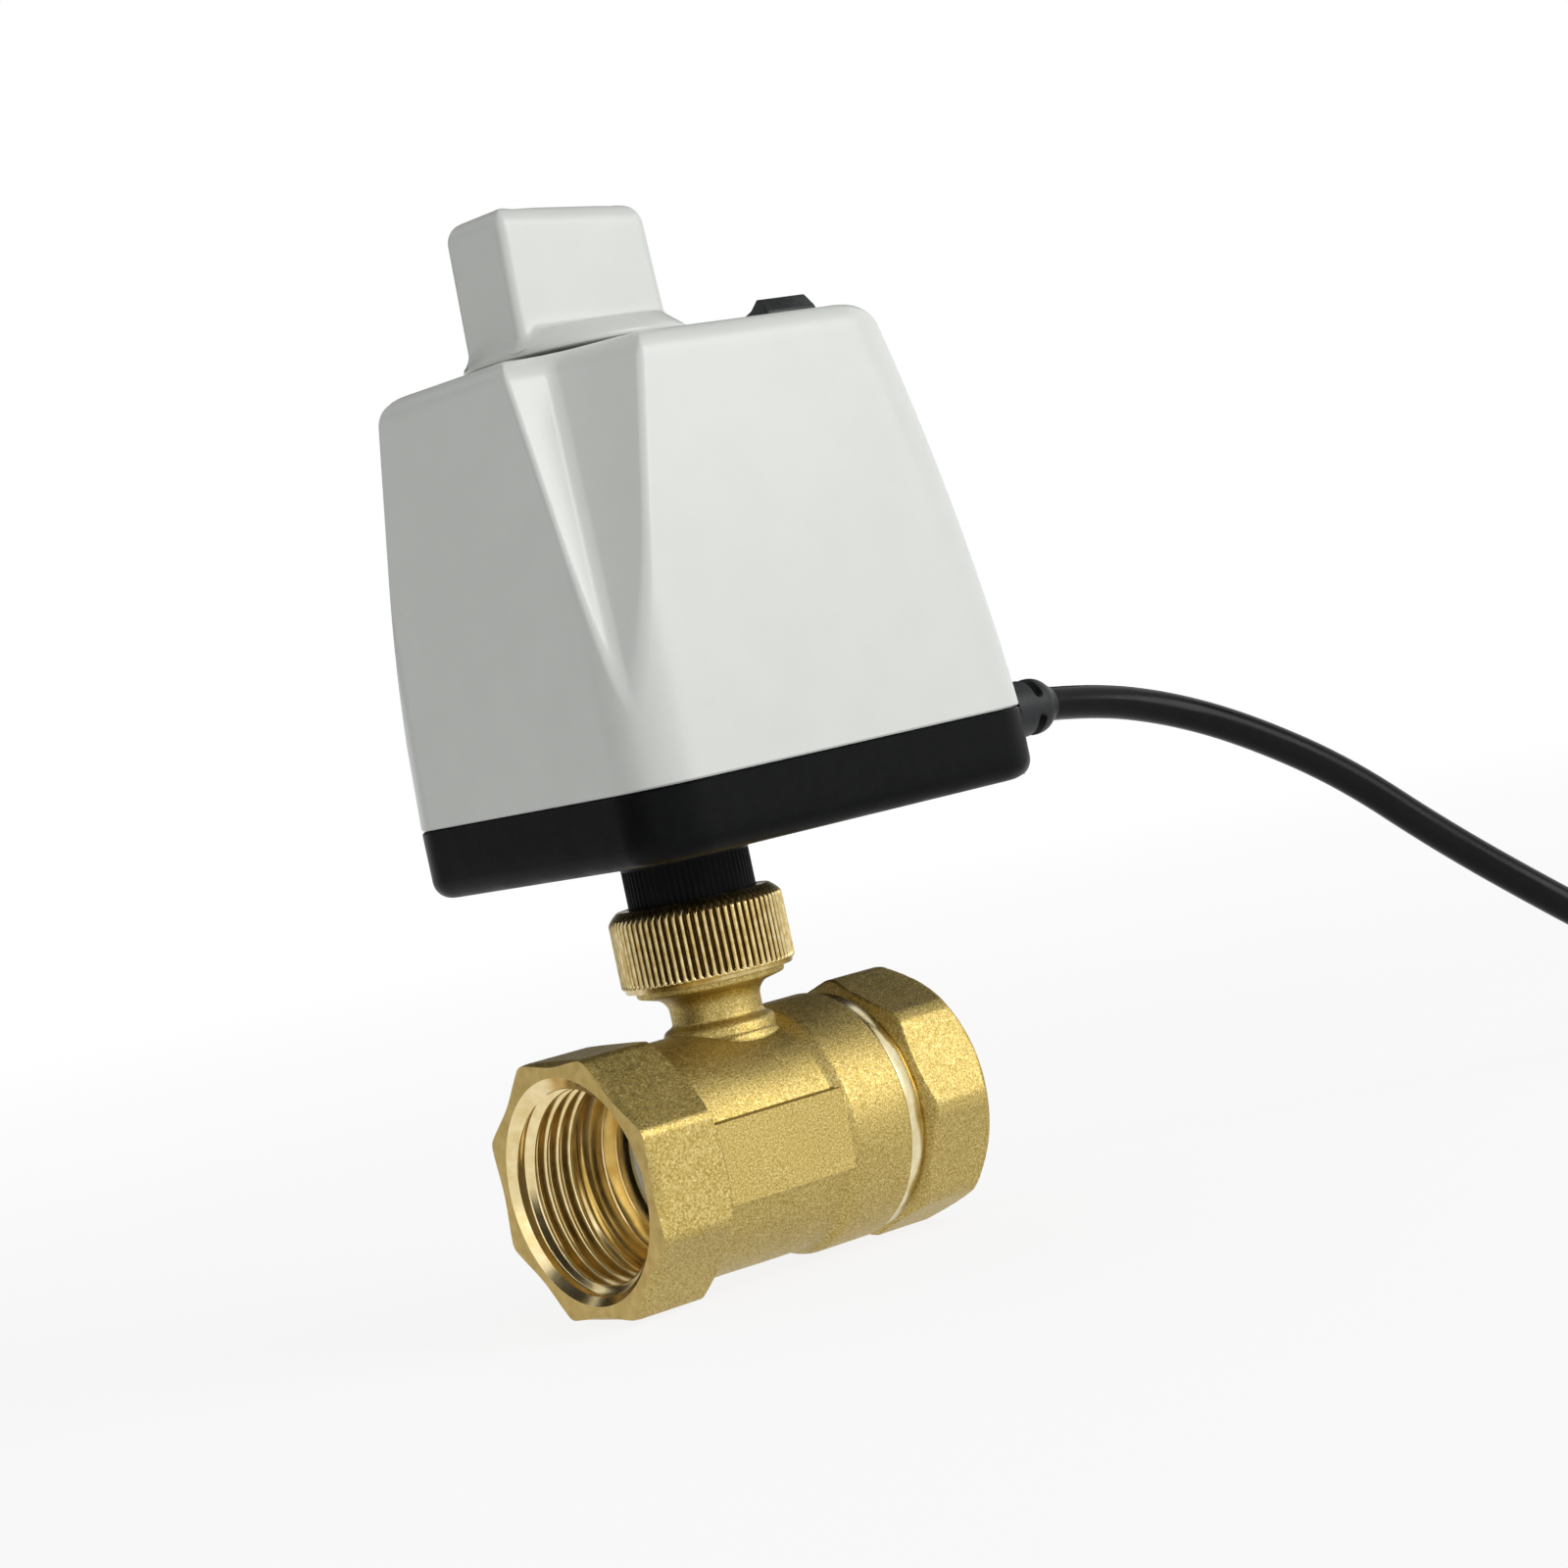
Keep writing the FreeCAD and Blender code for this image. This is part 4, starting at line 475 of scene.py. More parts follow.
def make_cover(finish):
    """The cover: level rays up its sides, turning rays over its edge, in to the hole, down inside."""
    hole = 6.2
    bend_weight = 3.0
    angles = even_angles(cover_depth, PARTING + SEAM_BEVEL, COLUMNS, bend_weight)
    foot = level_row(cover_depth, angles, PARTING + SEAM_BEVEL)
    under = foot * np.array([1.0, 1.0, 0.0]) * (1.0 - FOOT_SHARE)
    under[:, 2] = PARTING + SEAM_GAP
    rows = [under, foot]
    shoulder = COVER_TOP - HINGE_SHARE * TOP_EDGE
    for height in np.linspace(PARTING + 1.0, shoulder, 74):
        angles = even_angles(cover_depth, height, COLUMNS, bend_weight)
        rows.append(level_row(cover_depth, angles, height))
    out = level_ways(angles)
    hinge = rows[-1] - out * HINGE_SHARE * TOP_EDGE
    rows += edge_rows(cover_depth, hinge, out, np.linspace(7.0, 90.0, 16), 9.0)
    rim = ring(angles, hole, COVER_TOP)
    edge = rows[-1]
    for share in np.linspace(0.05, 1.0, 22):
        row = edge + (rim - edge) * share
        row[:, 2] = COVER_TOP - 6.0
        rise = np.zeros_like(row)
        rise[:, 2] = 1.0
        rows.append(solve_rays(cover_depth, row, rise, 9.0))
    rows.append(ring(angles, hole, COVER_TOP - WALL))

    def inner(points):
        """The cover's form, set in by its wall."""
        return cover_depth(points, WALL)

    lid = level_row(inner, angles, COVER_TOP - WALL - TOP_EDGE)
    ceiling = lid * np.array([0.94, 0.94, 0.0])
    ceiling[:, 2] = COVER_TOP - WALL
    rows += blend_rows(rows[-1], ceiling, (0.33, 0.66, 1.0))
    for height in np.linspace(COVER_TOP - WALL - TOP_EDGE, PARTING + SEAM_GAP, 14):
        rows.append(level_row(inner, angles, height))
    mesh = grid_mesh("actuator_cover", np.array(rows))
    cut_window(mesh)
    return link("actuator_cover", mesh, "housing", ["cover_shell"], [finish])


def neck_ribs(angles):
    """Fine upright ribs on the neck under the tray."""
    return 0.10 * np.cos(64.0 * angles)


def make_tray(finish):
    """The tray and its neck: profile rows out from the neck's foot, round the tray, back inside."""
    low = 46.4
    edge = 3.0
    floor = 49.4
    foot = 34.3
    neck = 10.15
    bore = 7.7
    groove = 9.2
    flare = 1.4

    def outline(inset):
        """The housing's outline, set in."""
        return lambda points: outline_depth(points, inset)

    angles = even_angles(outline(0.0), PARTING, COLUMNS)
    rows = [ring(angles, bore, foot), ring(angles, neck - 0.4, foot), ring(angles, neck, 34.7)]
    for height in (35.5, 35.52, 36.7, 36.72):
        rows.append(ring(angles, groove if 35.51 < height < 36.71 else neck, height))
    for height in np.linspace(38.5, low - flare, 5):
        ribbed = ring(angles, 1.0, height)
        ribbed[:, :2] *= (neck - 0.1 + neck_ribs(angles))[:, None]
        rows.append(ribbed)
    for share in np.linspace(0.0, 1.0, 6):
        swing = 0.5 * math.pi * share
        height = low - flare + flare * math.sin(swing)
        rows.append(ring(angles, neck + flare * (1.0 - math.cos(swing)), height))
    brink = level_row(outline(edge), angles, PARTING)
    brink[:, 2] = low
    rows += blend_rows(rows[-1], brink, np.linspace(0.1, 1.0, 9))
    for share in np.linspace(0.12, 1.0, 8):
        swing = 0.5 * math.pi * share
        row = level_row(outline(edge * (1.0 - math.sin(swing))), angles, PARTING)
        row[:, 2] = low + edge * (1.0 - math.cos(swing))
        rows.append(row)
    wall = level_row(outline(0.0), angles, PARTING)
    for height in (51.5, 54.0, PARTING - 0.4):
        rows.append(wall * np.array([1.0, 1.0, 0.0]) + np.array([0.0, 0.0, height]))
    lip = level_row(outline(SEAM_BEVEL), angles, PARTING)
    lip[:, 2] = PARTING - SEAM_GAP
    rows.append(lip)
    inside = level_row(outline(WALL), angles, PARTING)
    inside[:, 2] = PARTING - SEAM_GAP
    rows.append(inside)
    ground = inside.copy()
    ground[:, 2] = floor
    rows.append(ground)
    rows += blend_rows(ground, ring(angles, bore, floor), (0.33, 0.66, 1.0))
    mesh = grid_mesh("actuator_tray", np.array(rows))
    piece = link("actuator_tray", mesh, "housing", ["base_tray"], [finish])
    sink_screws(piece)
    return piece


def sink_screws(piece):
    """Cut the four round sinks of the housing's screws out of the tray's underside."""
    radius = 2.9 * MM
    work = bmesh.new()
    for x in (-20.5, 44.5):
        for y in (-28.3, 28.3):
            spot = in_frame([[x, y, 47.3]])[0]
            bmesh.ops.create_cone(work, cap_ends=True, segments=48, radius1=radius, radius2=radius,
                                  depth=3.0 * MM, matrix=Matrix.Translation(Vector(spot)))
    mesh = bpy.data.meshes.new("sinks")
    work.to_mesh(mesh)
    work.free()
    cutter = bpy.data.objects.new("sinks", mesh)
    show(cutter)
    cut = piece.modifiers.new("sinks", "BOOLEAN")
    cut.operation = "DIFFERENCE"
    cut.solver = "EXACT"
    cut.object = cutter
    bpy.context.view_layer.update()
    graph = bpy.context.evaluated_depsgraph_get()
    done = bpy.data.meshes.new_from_object(piece.evaluated_get(graph))
    piece.modifiers.clear()
    piece.data = done
    bpy.data.objects.remove(cutter)


# Heights of the knob's underside and top
KNOB_LOW = 125.2
KNOB_TOP = 147.6
# Its skirt: radius, height of the rim, slope of the cone, height of the crown, and bend between them
SKIRT_RADIUS = 17.7
SKIRT_RIM = 0.9
SKIRT_SLOPE = 0.85
SKIRT_CROWN = 3.6
SKIRT_BEND = 1.2
# Its grip bar: shift towards the nose, half length at foot and top, half width, corner, top edge,
# slope of the top, and rounding at the foot
BAR_SHIFT = 1.0
BAR_FOOT = 14.6
BAR_HEAD = 13.9
BAR_HALF = 7.6
BAR_CORNER = 1.6
BAR_EDGE = 3.4
BAR_SLOPE = 0.065
FOOT_ROUND = 1.3


def bar_depth(points):
    """Depth inside the knob's bar: drafted ends, rounded corners, a slanted top and its edge."""
    x, y, z = points[..., 0] + BAR_SHIFT, points[..., 1], points[..., 2]
    rise = np.clip((z - KNOB_LOW) / (KNOB_TOP - KNOB_LOW), 0.0, 1.0)
    ends = np.abs(x) - (BAR_FOOT + (BAR_HEAD - BAR_FOOT) * rise)
    sides = rounded_max(ends, np.abs(y) - BAR_HALF, BAR_CORNER)
    return rounded_max(sides, z - KNOB_TOP + BAR_SLOPE * x, BAR_EDGE)


def skirt_height(out):
    """Height of the skirt's top at a distance from the axis: a cone that levels out."""
    cone = SKIRT_RIM + SKIRT_SLOPE * (SKIRT_RADIUS - out)
    return KNOB_LOW + rounded_min(cone, np.full_like(cone, SKIRT_CROWN), SKIRT_BEND)


def make_knob(finish):
    """The knob: its rim and skirt, a hollow round the bar's foot, the bar's walls and its top."""
    angles = even_angles(bar_depth, KNOB_LOW + 8.0, 400, 3.0)
    out = level_ways(angles)
    base = level_row(bar_depth, angles, KNOB_LOW + 4.0)
    along = np.roll(base, -1, axis=0) - np.roll(base, 1, axis=0)
    outward = np.stack([along[:, 1], -along[:, 0], np.zeros_like(angles)], axis=-1)
    outward /= np.linalg.norm(outward, axis=1)[:, None]
    verge = base + outward * FOOT_ROUND
    spread = np.arctan2(verge[:, 1], verge[:, 0])
    rows = [ring(spread, 0.0, KNOB_LOW), ring(spread, SKIRT_RADIUS - 0.5, KNOB_LOW)]
    for inset, lift in ((0.1, 0.1), (0.0, 0.3), (0.0, SKIRT_RIM - 0.25), (0.12, SKIRT_RIM)):
        rows.append(ring(spread, SKIRT_RADIUS - inset, KNOB_LOW + lift))
    rim = rows[-1]
    for share in np.linspace(0.1, 0.92, 12):
        row = rim + (verge - rim) * share
        row[:, 2] = skirt_height(np.hypot(row[:, 0], row[:, 1]))
        rows.append(row)
    for turn in np.radians(np.linspace(0.0, 84.0, 9)):
        row = base + outward * FOOT_ROUND * (1.0 - math.sin(turn))
        rise = FOOT_ROUND * (1.0 - math.cos(turn))
        row[:, 2] = skirt_height(np.hypot(row[:, 0], row[:, 1])) + rise
        rows.append(row)
    low = rows[-1][:, 2]
    shoulder = KNOB_TOP - BAR_SLOPE * base[:, 0] - HINGE_SHARE * BAR_EDGE
    for share in np.linspace(0.1, 1.0, 10):
        start = ring(angles, 0.0, 0.0)
        start[:, 2] = low + (shoulder - low) * share
        rows.append(solve_rays(bar_depth, start, out, 30.0))
    hinge = rows[-1] - out * HINGE_SHARE * BAR_EDGE
    rows += edge_rows(bar_depth, hinge, out, np.linspace(8.0, 90.0, 14), 12.0)
    peak = ring(angles, 0.0, KNOB_TOP - BAR_SLOPE * BAR_SHIFT)
    edge = rows[-1]
    for share in (0.2, 0.45, 0.7, 0.9, 1.0):
        rows.append(edge + (peak - edge) * share)
    mesh = grid_mesh("hand_knob", np.array(rows), close_rows=False)
    return link("hand_knob", mesh, "valve_drive", ["manual_knob"], [finish])


# Brass body, end and nut

# Points in each row of the body and of the end, and the finishes' numbers on them
BRASS_COLUMNS = 320
CAST, TURNED, BORED, FACED = range(4)
# How far the body's and the end's mouths lie from the stem's axis
BODY_REACH = 33.1
END_REACH = 34.3
# The two octagons: across flats, radius that trims the corners, and how far the end's is turned
BODY_FLATS = 40.0
BODY_CORNER = 21.45
END_FLATS = 39.3
END_CORNER = 20.85
END_TURN = math.radians(-19.1)
# The ports' threads, and the radius and depth of the mouths' chamfers
THREAD_PITCH = 2.309
THREAD_MINOR = 15.146
THREAD_MAJOR = 16.55
MOUTH_RADIUS = 17.7
CHAMFER_DEPTH = 1.15


def eight_flats(angles, flats, corner, turned):
    """Radius of an octagon with its corners trimmed to a circle; flats face the Y and Z axes."""
    wedge = TURN / 8.0
    off = (angles - turned + wedge / 2.0) % wedge - wedge / 2.0
    return rounded_min(flats / 2.0 / np.cos(off), np.full_like(angles, corner), 0.25)


def around_pipe(along, radius, angles, sign=1.0):
    """A row of points about the pipe's axis; angles run from +Y towards +Z."""
    wide = radius * np.ones_like(angles)
    place = sign * along * np.ones_like(angles)
    return np.stack([place, wide * np.cos(angles), wide * np.sin(angles)], axis=-1)


def port_rows(reach, angles, sign):
    """Rows from the mouth inwards: chamfer, threaded wall, plain bore, shoulder and passage."""
    rows = []
    for depth, radius in ((0.0, MOUTH_RADIUS), (CHAMFER_DEPTH, THREAD_MAJOR), (5.0, THREAD_MAJOR),
                          (9.0, THREAD_MAJOR), (13.6, THREAD_MAJOR), (14.2, 15.2), (14.5, 15.6),
                          (16.6, 15.6), (16.95, 15.3), (17.0, 13.0), (17.0, 12.0), (17.3, 11.75)):
        rows.append(around_pipe(reach - depth, radius, angles, sign))
    return rows


def make_thread(name, reach, sign, finish):
    """A port's thread: a ridge wound right-handed round the bore's wall, cut by the mouth's chamfer."""
    start, end = 1.3, 13.3
    turns = (end - start) / THREAD_PITCH
    wound = np.linspace(0.0, turns * TURN, int(turns * 128))
    depth = start + THREAD_PITCH * wound / TURN
    fade = smooth_step(depth, start, start + 0.7) * (1.0 - smooth_step(depth, end - 1.6, end))
    across = np.linspace(-0.5, 0.5, 19)
    crest = smooth_step(1.0 - 2.0 * np.abs(across), 0.05, 0.92)
    root = THREAD_MAJOR + 0.02
    front = root - (root - THREAD_MINOR) * fade[:, None] * crest[None, :]
    inward = depth[:, None] + across[None, :] * THREAD_PITCH
    chamfer = MOUTH_RADIUS - (MOUTH_RADIUS - THREAD_MAJOR) * inward / CHAMFER_DEPTH
    front = np.maximum(front, chamfer + 0.02)
    behind = front[:, [-1, 0]] + 0.3
    radius = np.concatenate([front, behind], axis=1)
    inward = np.concatenate([inward, inward[:, [-1, 0]]], axis=1)
    place = sign * (reach - inward)
    turned = -sign * wound[:, None]
    grid = np.stack([place, radius * np.cos(turned), radius * np.sin(turned)], axis=-1)
    grid[0] = grid[0].mean(axis=0)
    grid[-1] = grid[-1].mean(axis=0)
    mesh = grid_mesh(name, grid, close_rows=False)
    return link(name, mesh, "housing", [], [finish], sharp=60.0)


def cast_wobble(angles, along):
    """Slight unevenness of a cast surface, in mm."""
    return 0.05 * np.sin(3.0 * angles + 0.21 * along) + 0.04 * np.sin(7.0 * angles - 0.35 * along)


def make_body_casting(finishes):
    """The body about the pipe's axis: octagon, barrel with its panel, band, bores and port."""
    angles = around(BRASS_COLUMNS)
    face, back, band, end = -BODY_REACH, -19.6, 7.0, 17.6

    def outer(x):
        """Radii of the outside at a place along the pipe: bevelled octagon, then barrel and panel."""
        octagon = eight_flats(angles, BODY_FLATS, BODY_CORNER, 0.0)
        bevel = 19.75 + 1.6 * (back + 0.5 - x)
        verge = (0.42 + 0.27 * np.cos(8.0 * angles)) * (1.0 - min(1.0, (x - face) / 1.3))
        hexed = rounded_min(octagon, bevel * np.ones_like(angles), 0.3) - verge
        barrel = 18.7 + 1.2 * smooth_step(np.array(x), band - 2.5, band)
        barrel = barrel - 0.35 * smooth_step(np.array(x), end - 0.4, end + 0.02)
        turned = np.cos(angles)
        flat = 19.2 / np.maximum(-turned, 0.3)
        height = np.abs(barrel * np.sin(angles))
        within = (1.0 - smooth_step(height, 5.9, 6.35)) * (turned < 0.0)
        within = within * (1.0 - smooth_step(np.array(x), 5.7, 6.2)) * (x > back - 0.5)
        body = barrel + np.maximum(flat - barrel, 0.0) * within + cast_wobble(angles, x) * 0.6
        if x <= back + 0.001:
            return hexed
        mix = smooth_step(np.array(x), back, back + 0.9)
        return hexed * (1.0 - mix) + body * mix if mix < 1.0 else body

    places = np.concatenate([face + np.array([0.0, 0.4, 0.9, 1.3, 1.6, 2.0]),
                             np.linspace(face + 3.0, back - 1.4, 14),
                             np.linspace(back - 1.2, back + 1.1, 16), np.linspace(back + 1.6, 3.8, 26),
                             np.linspace(4.2, 7.4, 14), np.linspace(8.0, end - 0.6, 12),
                             [end - 0.4, end - 0.25, end - 0.1, end]])
    steps = [(end, 17.62), (9.75, 17.62), (9.7, 16.2), (-9.7, 16.2), (-9.72, 14.5), (-13.2, 14.5),
             (-13.22, 11.7)]
    port = port_rows(BODY_REACH, angles, -1.0)
    rows = [around_pipe(x, outer(x), angles) for x in places]
    rows += [around_pipe(x, radius, angles) for x, radius in steps] + port[::-1]
    finish = [CAST] * len(places) + [TURNED] * len(steps) + [BORED] * len(port)
    finish[-1] = FACED
    mesh = grid_mesh("valve_casting", np.array(rows), finish=np.array(finish))
    return link("valve_casting", mesh, "housing", ["valve_body"], finishes, sharp=42.0)


def make_end_casting(finishes):
    """The end that screws into the body: collar, groove, octagon, port and spigot."""
    angles = around(BRASS_COLUMNS)
    start, reach = 21.2, END_REACH
    collar = [(9.7, 17.5), (17.62, 17.5), (17.62, 19.0), (17.85, 19.28), (20.0, 19.3), (20.2, 19.1),
              (20.25, 17.9), (21.15, 17.8)]
    step = [(13.25, 11.7), (13.2, 14.5), (9.72, 14.5)]

    def outer(x):
        """Radii of the octagon at a place along the pipe, bevelled at both ends."""
        octagon = eight_flats(angles, END_FLATS, END_CORNER, END_TURN)
        bevel = min(18.4 + 1.9 * (x - start), 19.4 + (reach - x))
        return rounded_min(octagon, bevel * np.ones_like(angles), 0.3) + cast_wobble(angles, x) * 0.4

    places = np.concatenate([np.linspace(start, start + 2.2, 12), np.linspace(start + 3.0, reach - 2.4, 12),
                             np.linspace(reach - 2.0, reach, 9)])
    port = port_rows(reach, angles, 1.0)
    rows = [around_pipe(x, radius, angles) for x, radius in collar]
    rows += [around_pipe(x, outer(x), angles) for x in places] + port
    rows += [around_pipe(x, radius, angles) for x, radius in step]
    finish = [TURNED] * len(collar) + [CAST] * (len(places) - 1) + [FACED]
    finish += [BORED] * (len(port) + len(step))
    mesh = grid_mesh("end_casting", np.array(rows), finish=np.array(finish))
    return link("end_casting", mesh, "housing", ["end_cap"], finishes, sharp=50.0)


def make_boss(finish):
    """The stem boss: profile turned about the stem, its foot on the barrel's curve."""
    bore = 4.1
    inner = 17.4
    angles = around(200)
    profile = soften([(33.4, bore), (33.5, 11.8, 0.0), (33.3, 12.0, 0.0), (26.0, 12.0, 0.0),
                      (26.0, 11.8, 0.3), (25.1, 11.7, 0.5), (24.2, 8.3, 1.0), (22.9, 7.25, 1.2),
                      (19.8, 7.2, 0.6), (19.0, 8.8, 0.7), (17.4, 9.2, 0.8), (17.0, 9.6, 0.0)], 0.4, 5)
    rows = [ring(angles, radius, height) for height, radius in profile]
    for share in np.linspace(0.15, 1.0, 8):
        radius = 9.6 + 1.9 * share * share
        saddle = np.sqrt(18.6 ** 2 - (radius * np.sin(angles)) ** 2)
        height = np.minimum(17.0, saddle + 0.9 * (1.0 - share) ** 2) - 0.4 * share
        row = ring(angles, radius, 0.0)
        row[:, 2] = height
        rows.append(row)
    for radius in (10.0, bore):
        row = ring(angles, radius, 0.0)
        row[:, 2] = np.sqrt(inner ** 2 - (radius * np.sin(angles)) ** 2)
        rows.append(row)
    mesh = grid_mesh("stem_boss", np.array(rows))
    return link("stem_boss", mesh, "housing", [], [finish], sharp=60.0)


def make_nut(finishes):
    """The union nut: a turned profile with upright knurls that run out at both ends."""
    knurls = 72
    outer = 13.8
    depth = 0.75
    angles = around(knurls * 12)
    wave = np.abs((angles * knurls / TURN) % 1.0 - 0.5) * 2.0
    groove = depth * smooth_step(wave, 0.25, 0.85)
    profile = [(26.2, 12.3), (26.2, 13.2), (26.3, 13.3), (26.75, 13.35), (26.85, 13.5), (27.05, 13.72)]
    profile += [(z, outer) for z in (27.2, 27.35, 27.55, 27.8, 28.4, 30.0, 32.0, 34.0, 36.0, 36.9)]
    profile += [(37.2, 13.76), (37.5, 13.6), (37.8, 13.38), (38.2, 13.02), (38.6, 12.6), (38.9, 12.25),
                (39.0, 12.0), (39.0, 10.5), (38.8, 10.35), (37.0, 10.35), (37.0, 12.2)]
    rows, finish = [], []
    for height, radius in profile:
        deep = smooth_step(np.array(height), 26.95, 27.9)
        shown = groove * deep if radius > 11.0 and height < 38.7 else 0.0 * groove
        limit = outer - shown
        # Faces deep in a groove get the second finish, brass darkened with painted shade
        finish.append((shown > 0.3) & (radius > 12.8))
        row = ring(angles, 1.0, height)
        row[:, :2] *= np.minimum(radius, limit)[:, None]
        rows.append(row)
    mesh = grid_mesh("knurled_nut", np.array(rows), finish=np.array(finish, int))
    return link("knurled_nut", mesh, "nut", ["union_nut"], finishes, sharp=70.0)


# Boot, switch and cord

# The line on which the cord leaves the housing
BOOT_Y = -12.0
BOOT_Z = 56.4


def make_boot(finish):
    """The cord's boot: a turned profile about the cord with paired curved slots, drawn out thin."""
    slot_depth = 1.35
    half_slot = 1.08
    angles = around(192)
    profile = soften([(45.3, 2.85), (45.3, 4.0, 0.0), (50.25, 4.0, 0.0), (50.3, 5.3, 0.0),
                      (51.6, 5.4, 0.3), (51.7, 4.7, 0.2), (68.1, 4.65, 1.1), (70.1, 3.2, 0.7),
                      (70.7, 2.95, 0.2), (70.7, 2.82, 0.0)], 0.4, 7)
    fine = []
    for start, end in zip(profile, profile[1:]):
        steps = max(1, int(abs(end[0] - start[0]) / 0.12)) if start[0] > 51.65 else 1
        fine += [start + (end - start) * share for share in np.arange(steps) / steps]
    fine.append(profile[-1])
    rows = []
    for along, radius in fine:
        slots = np.zeros_like(angles)
        for index, centre in enumerate((65.6, 59.7, 53.8)):
            for middle in (math.pi / 2.0, -math.pi / 2.0):
                turned = middle + index * math.pi / 2.0
                off = np.abs((angles - turned + math.pi) % TURN - math.pi)
                past = np.hypot(np.maximum(off - half_slot, 0.0) * radius, along - centre)
                slots = np.maximum(slots, 1.0 - smooth_step(past, 0.62, 0.92))
        wide = radius - slot_depth * slots
        spots = np.stack([np.full_like(angles, along), BOOT_Y + wide * np.cos(angles),
                          BOOT_Z + wide * np.sin(angles)], axis=-1)
        rows.append(spots)
    mesh = grid_mesh("cord_boot", np.array(rows))
    return link("cord_boot", mesh, "housing", ["strain_relief"], [finish], sharp=50.0)


def bevelled(name, corners, half, body, nodes, finish, bevel):
    """A prism from a closed outline, spread to both sides along X, with rounded edges."""
    work = bmesh.new()
    across = np.array([half, 0.0, 0.0])
    near = [work.verts.new(spot) for spot in in_frame(np.array(corners) - across)]
    far = [work.verts.new(spot) for spot in in_frame(np.array(corners) + across)]
    work.faces.new(near)
    work.faces.new(far[::-1])
    for index in range(len(corners)):
        following = (index + 1) % len(corners)
        work.faces.new((near[following], near[index], far[index], far[following]))
    bmesh.ops.recalc_face_normals(work, faces=work.faces)
    bmesh.ops.bevel(work, geom=list(work.edges), offset=bevel * MM, segments=3, profile=0.5,
                    affect="EDGES", clamp_overlap=True)
    mesh = bpy.data.meshes.new(name)
    work.to_mesh(mesh)
    work.free()
    return link(name, mesh, body, nodes, [finish])


def make_rocker(finish):
    """The rocker switch: the paddle with its raised ends, turned to its rest tilt, and its frame."""
    centre = np.array(SWITCH_PLACE)
    tilt = math.radians(-10.0)
    shape = [(-6.3, 1.0), (0.0, -1.5), (6.3, 1.0), (6.3, 3.0), (4.6, 5.6), (2.4, 4.5), (0.0, 4.2),
             (-2.4, 4.5), (-4.6, 5.6), (-6.3, 3.0)]
    spots = []
    for y, z in shape:
        spots.append(centre + np.array([0.0, y * math.cos(tilt) - z * math.sin(tilt),
                                        y * math.sin(tilt) + z * math.cos(tilt)]))
    paddle = bevelled("switch_paddle", spots, 4.9, "rocker", ["rocker_paddle"], finish,
                      0.3)
    foot = 117.0
    rim = 124.6
    sides = {"near_x": (-6.0, -5.1, -8.2, 8.2, rim), "far_x": (5.1, 6.0, -8.2, 8.2, rim),
             "near_y": (-5.1, 5.1, -8.2, -6.95, rim), "far_y": (-5.1, 5.1, 6.95, 8.2, rim),
             "floor": (-5.1, 5.1, -6.95, 6.95, foot + 1.0)}
    first = True
    for key, (x_low, x_high, y_low, y_high, top) in sides.items():
        middle = (x_low + x_high) / 2.0
        corners = [centre * np.array([1.0, 1.0, 0.0]) + np.array([middle, y, z])
                   for y, z in ((y_low, foot), (y_high, foot), (y_high, top), (y_low, top))]
        bevelled("switch_frame_" + key, corners, (x_high - x_low) / 2.0, "housing",
                 ["rocker_bezel"] if first else [], finish, 0.25)
        first = False
    return paddle


# The cord's route from the boot's tip to the coil, in the part's own frame, in metres
ROUTE = [
    (0.0605, -0.0120, 0.07725), (0.0724, -0.0120, 0.0762), (0.0871, -0.0146, 0.0719),
    (0.0980, -0.0206, 0.0655), (0.1095, -0.0294, 0.0552), (0.1180, -0.0400, 0.0416),
    (0.1274, -0.0516, 0.0285), (0.1415, -0.0629, 0.0136), (0.1553, -0.0709, 0.0062),
    (0.1666, -0.0760, 0.0028), (0.1745, -0.0789, 0.0028),
]
# Radii of the cord and of the coil's half turns, in metres, and points in a half turn
CORD_RADIUS = 0.0028
COIL_RADII = (0.033, 0.0299, 0.0268, 0.0237)
TURN_POINTS = 8


def spline_piece(name, points, radius, finish, body, nodes, sides=8):
    """A round cord along one open spline of order 3 through a list of control points."""
    curve = bpy.data.curves.new(name, "CURVE")
    curve.dimensions = "3D"
    spline = curve.splines.new("NURBS")
    spline.points.add(len(points) - 1)
    for spot, point in zip(points, spline.points):
        point.co = (*spot, 1.0)
    spline.order_u = 3
    spline.use_endpoint_u = True
    spline.resolution_u = 8
    curve.bevel_depth = radius
    curve.bevel_resolution = sides
    curve.use_fill_caps = True
    curve.materials.append(finish)
    return register(bpy.data.objects.new(name, curve), body, nodes)


def coil_points():
    """Points of the coil's half turns, each nearer its centre, and where and how the cord ends."""
    end, before = Vector(ROUTE[-1]), Vector(ROUTE[-2])
    along = (end - before).normalized()
    spot = end + along * 2.0 * CORD_RADIUS
    points = []
    step = math.pi / TURN_POINTS
    for radius in COIL_RADII:
        inward = Vector((-along.y, along.x, 0.0))
        centre = spot + inward * radius
        reach = radius / math.cos(step / 2.0)
        for index in range(TURN_POINTS):
            angle = (index + 0.5) * step
            points.append(centre - inward * reach * math.cos(angle) + along * reach * math.sin(angle))
        spot = centre + inward * radius
        along = -along
    finish = spot + along * COIL_RADII[-1] * math.tan(step / 2.0)
    points.append(finish)
    return points, finish, along


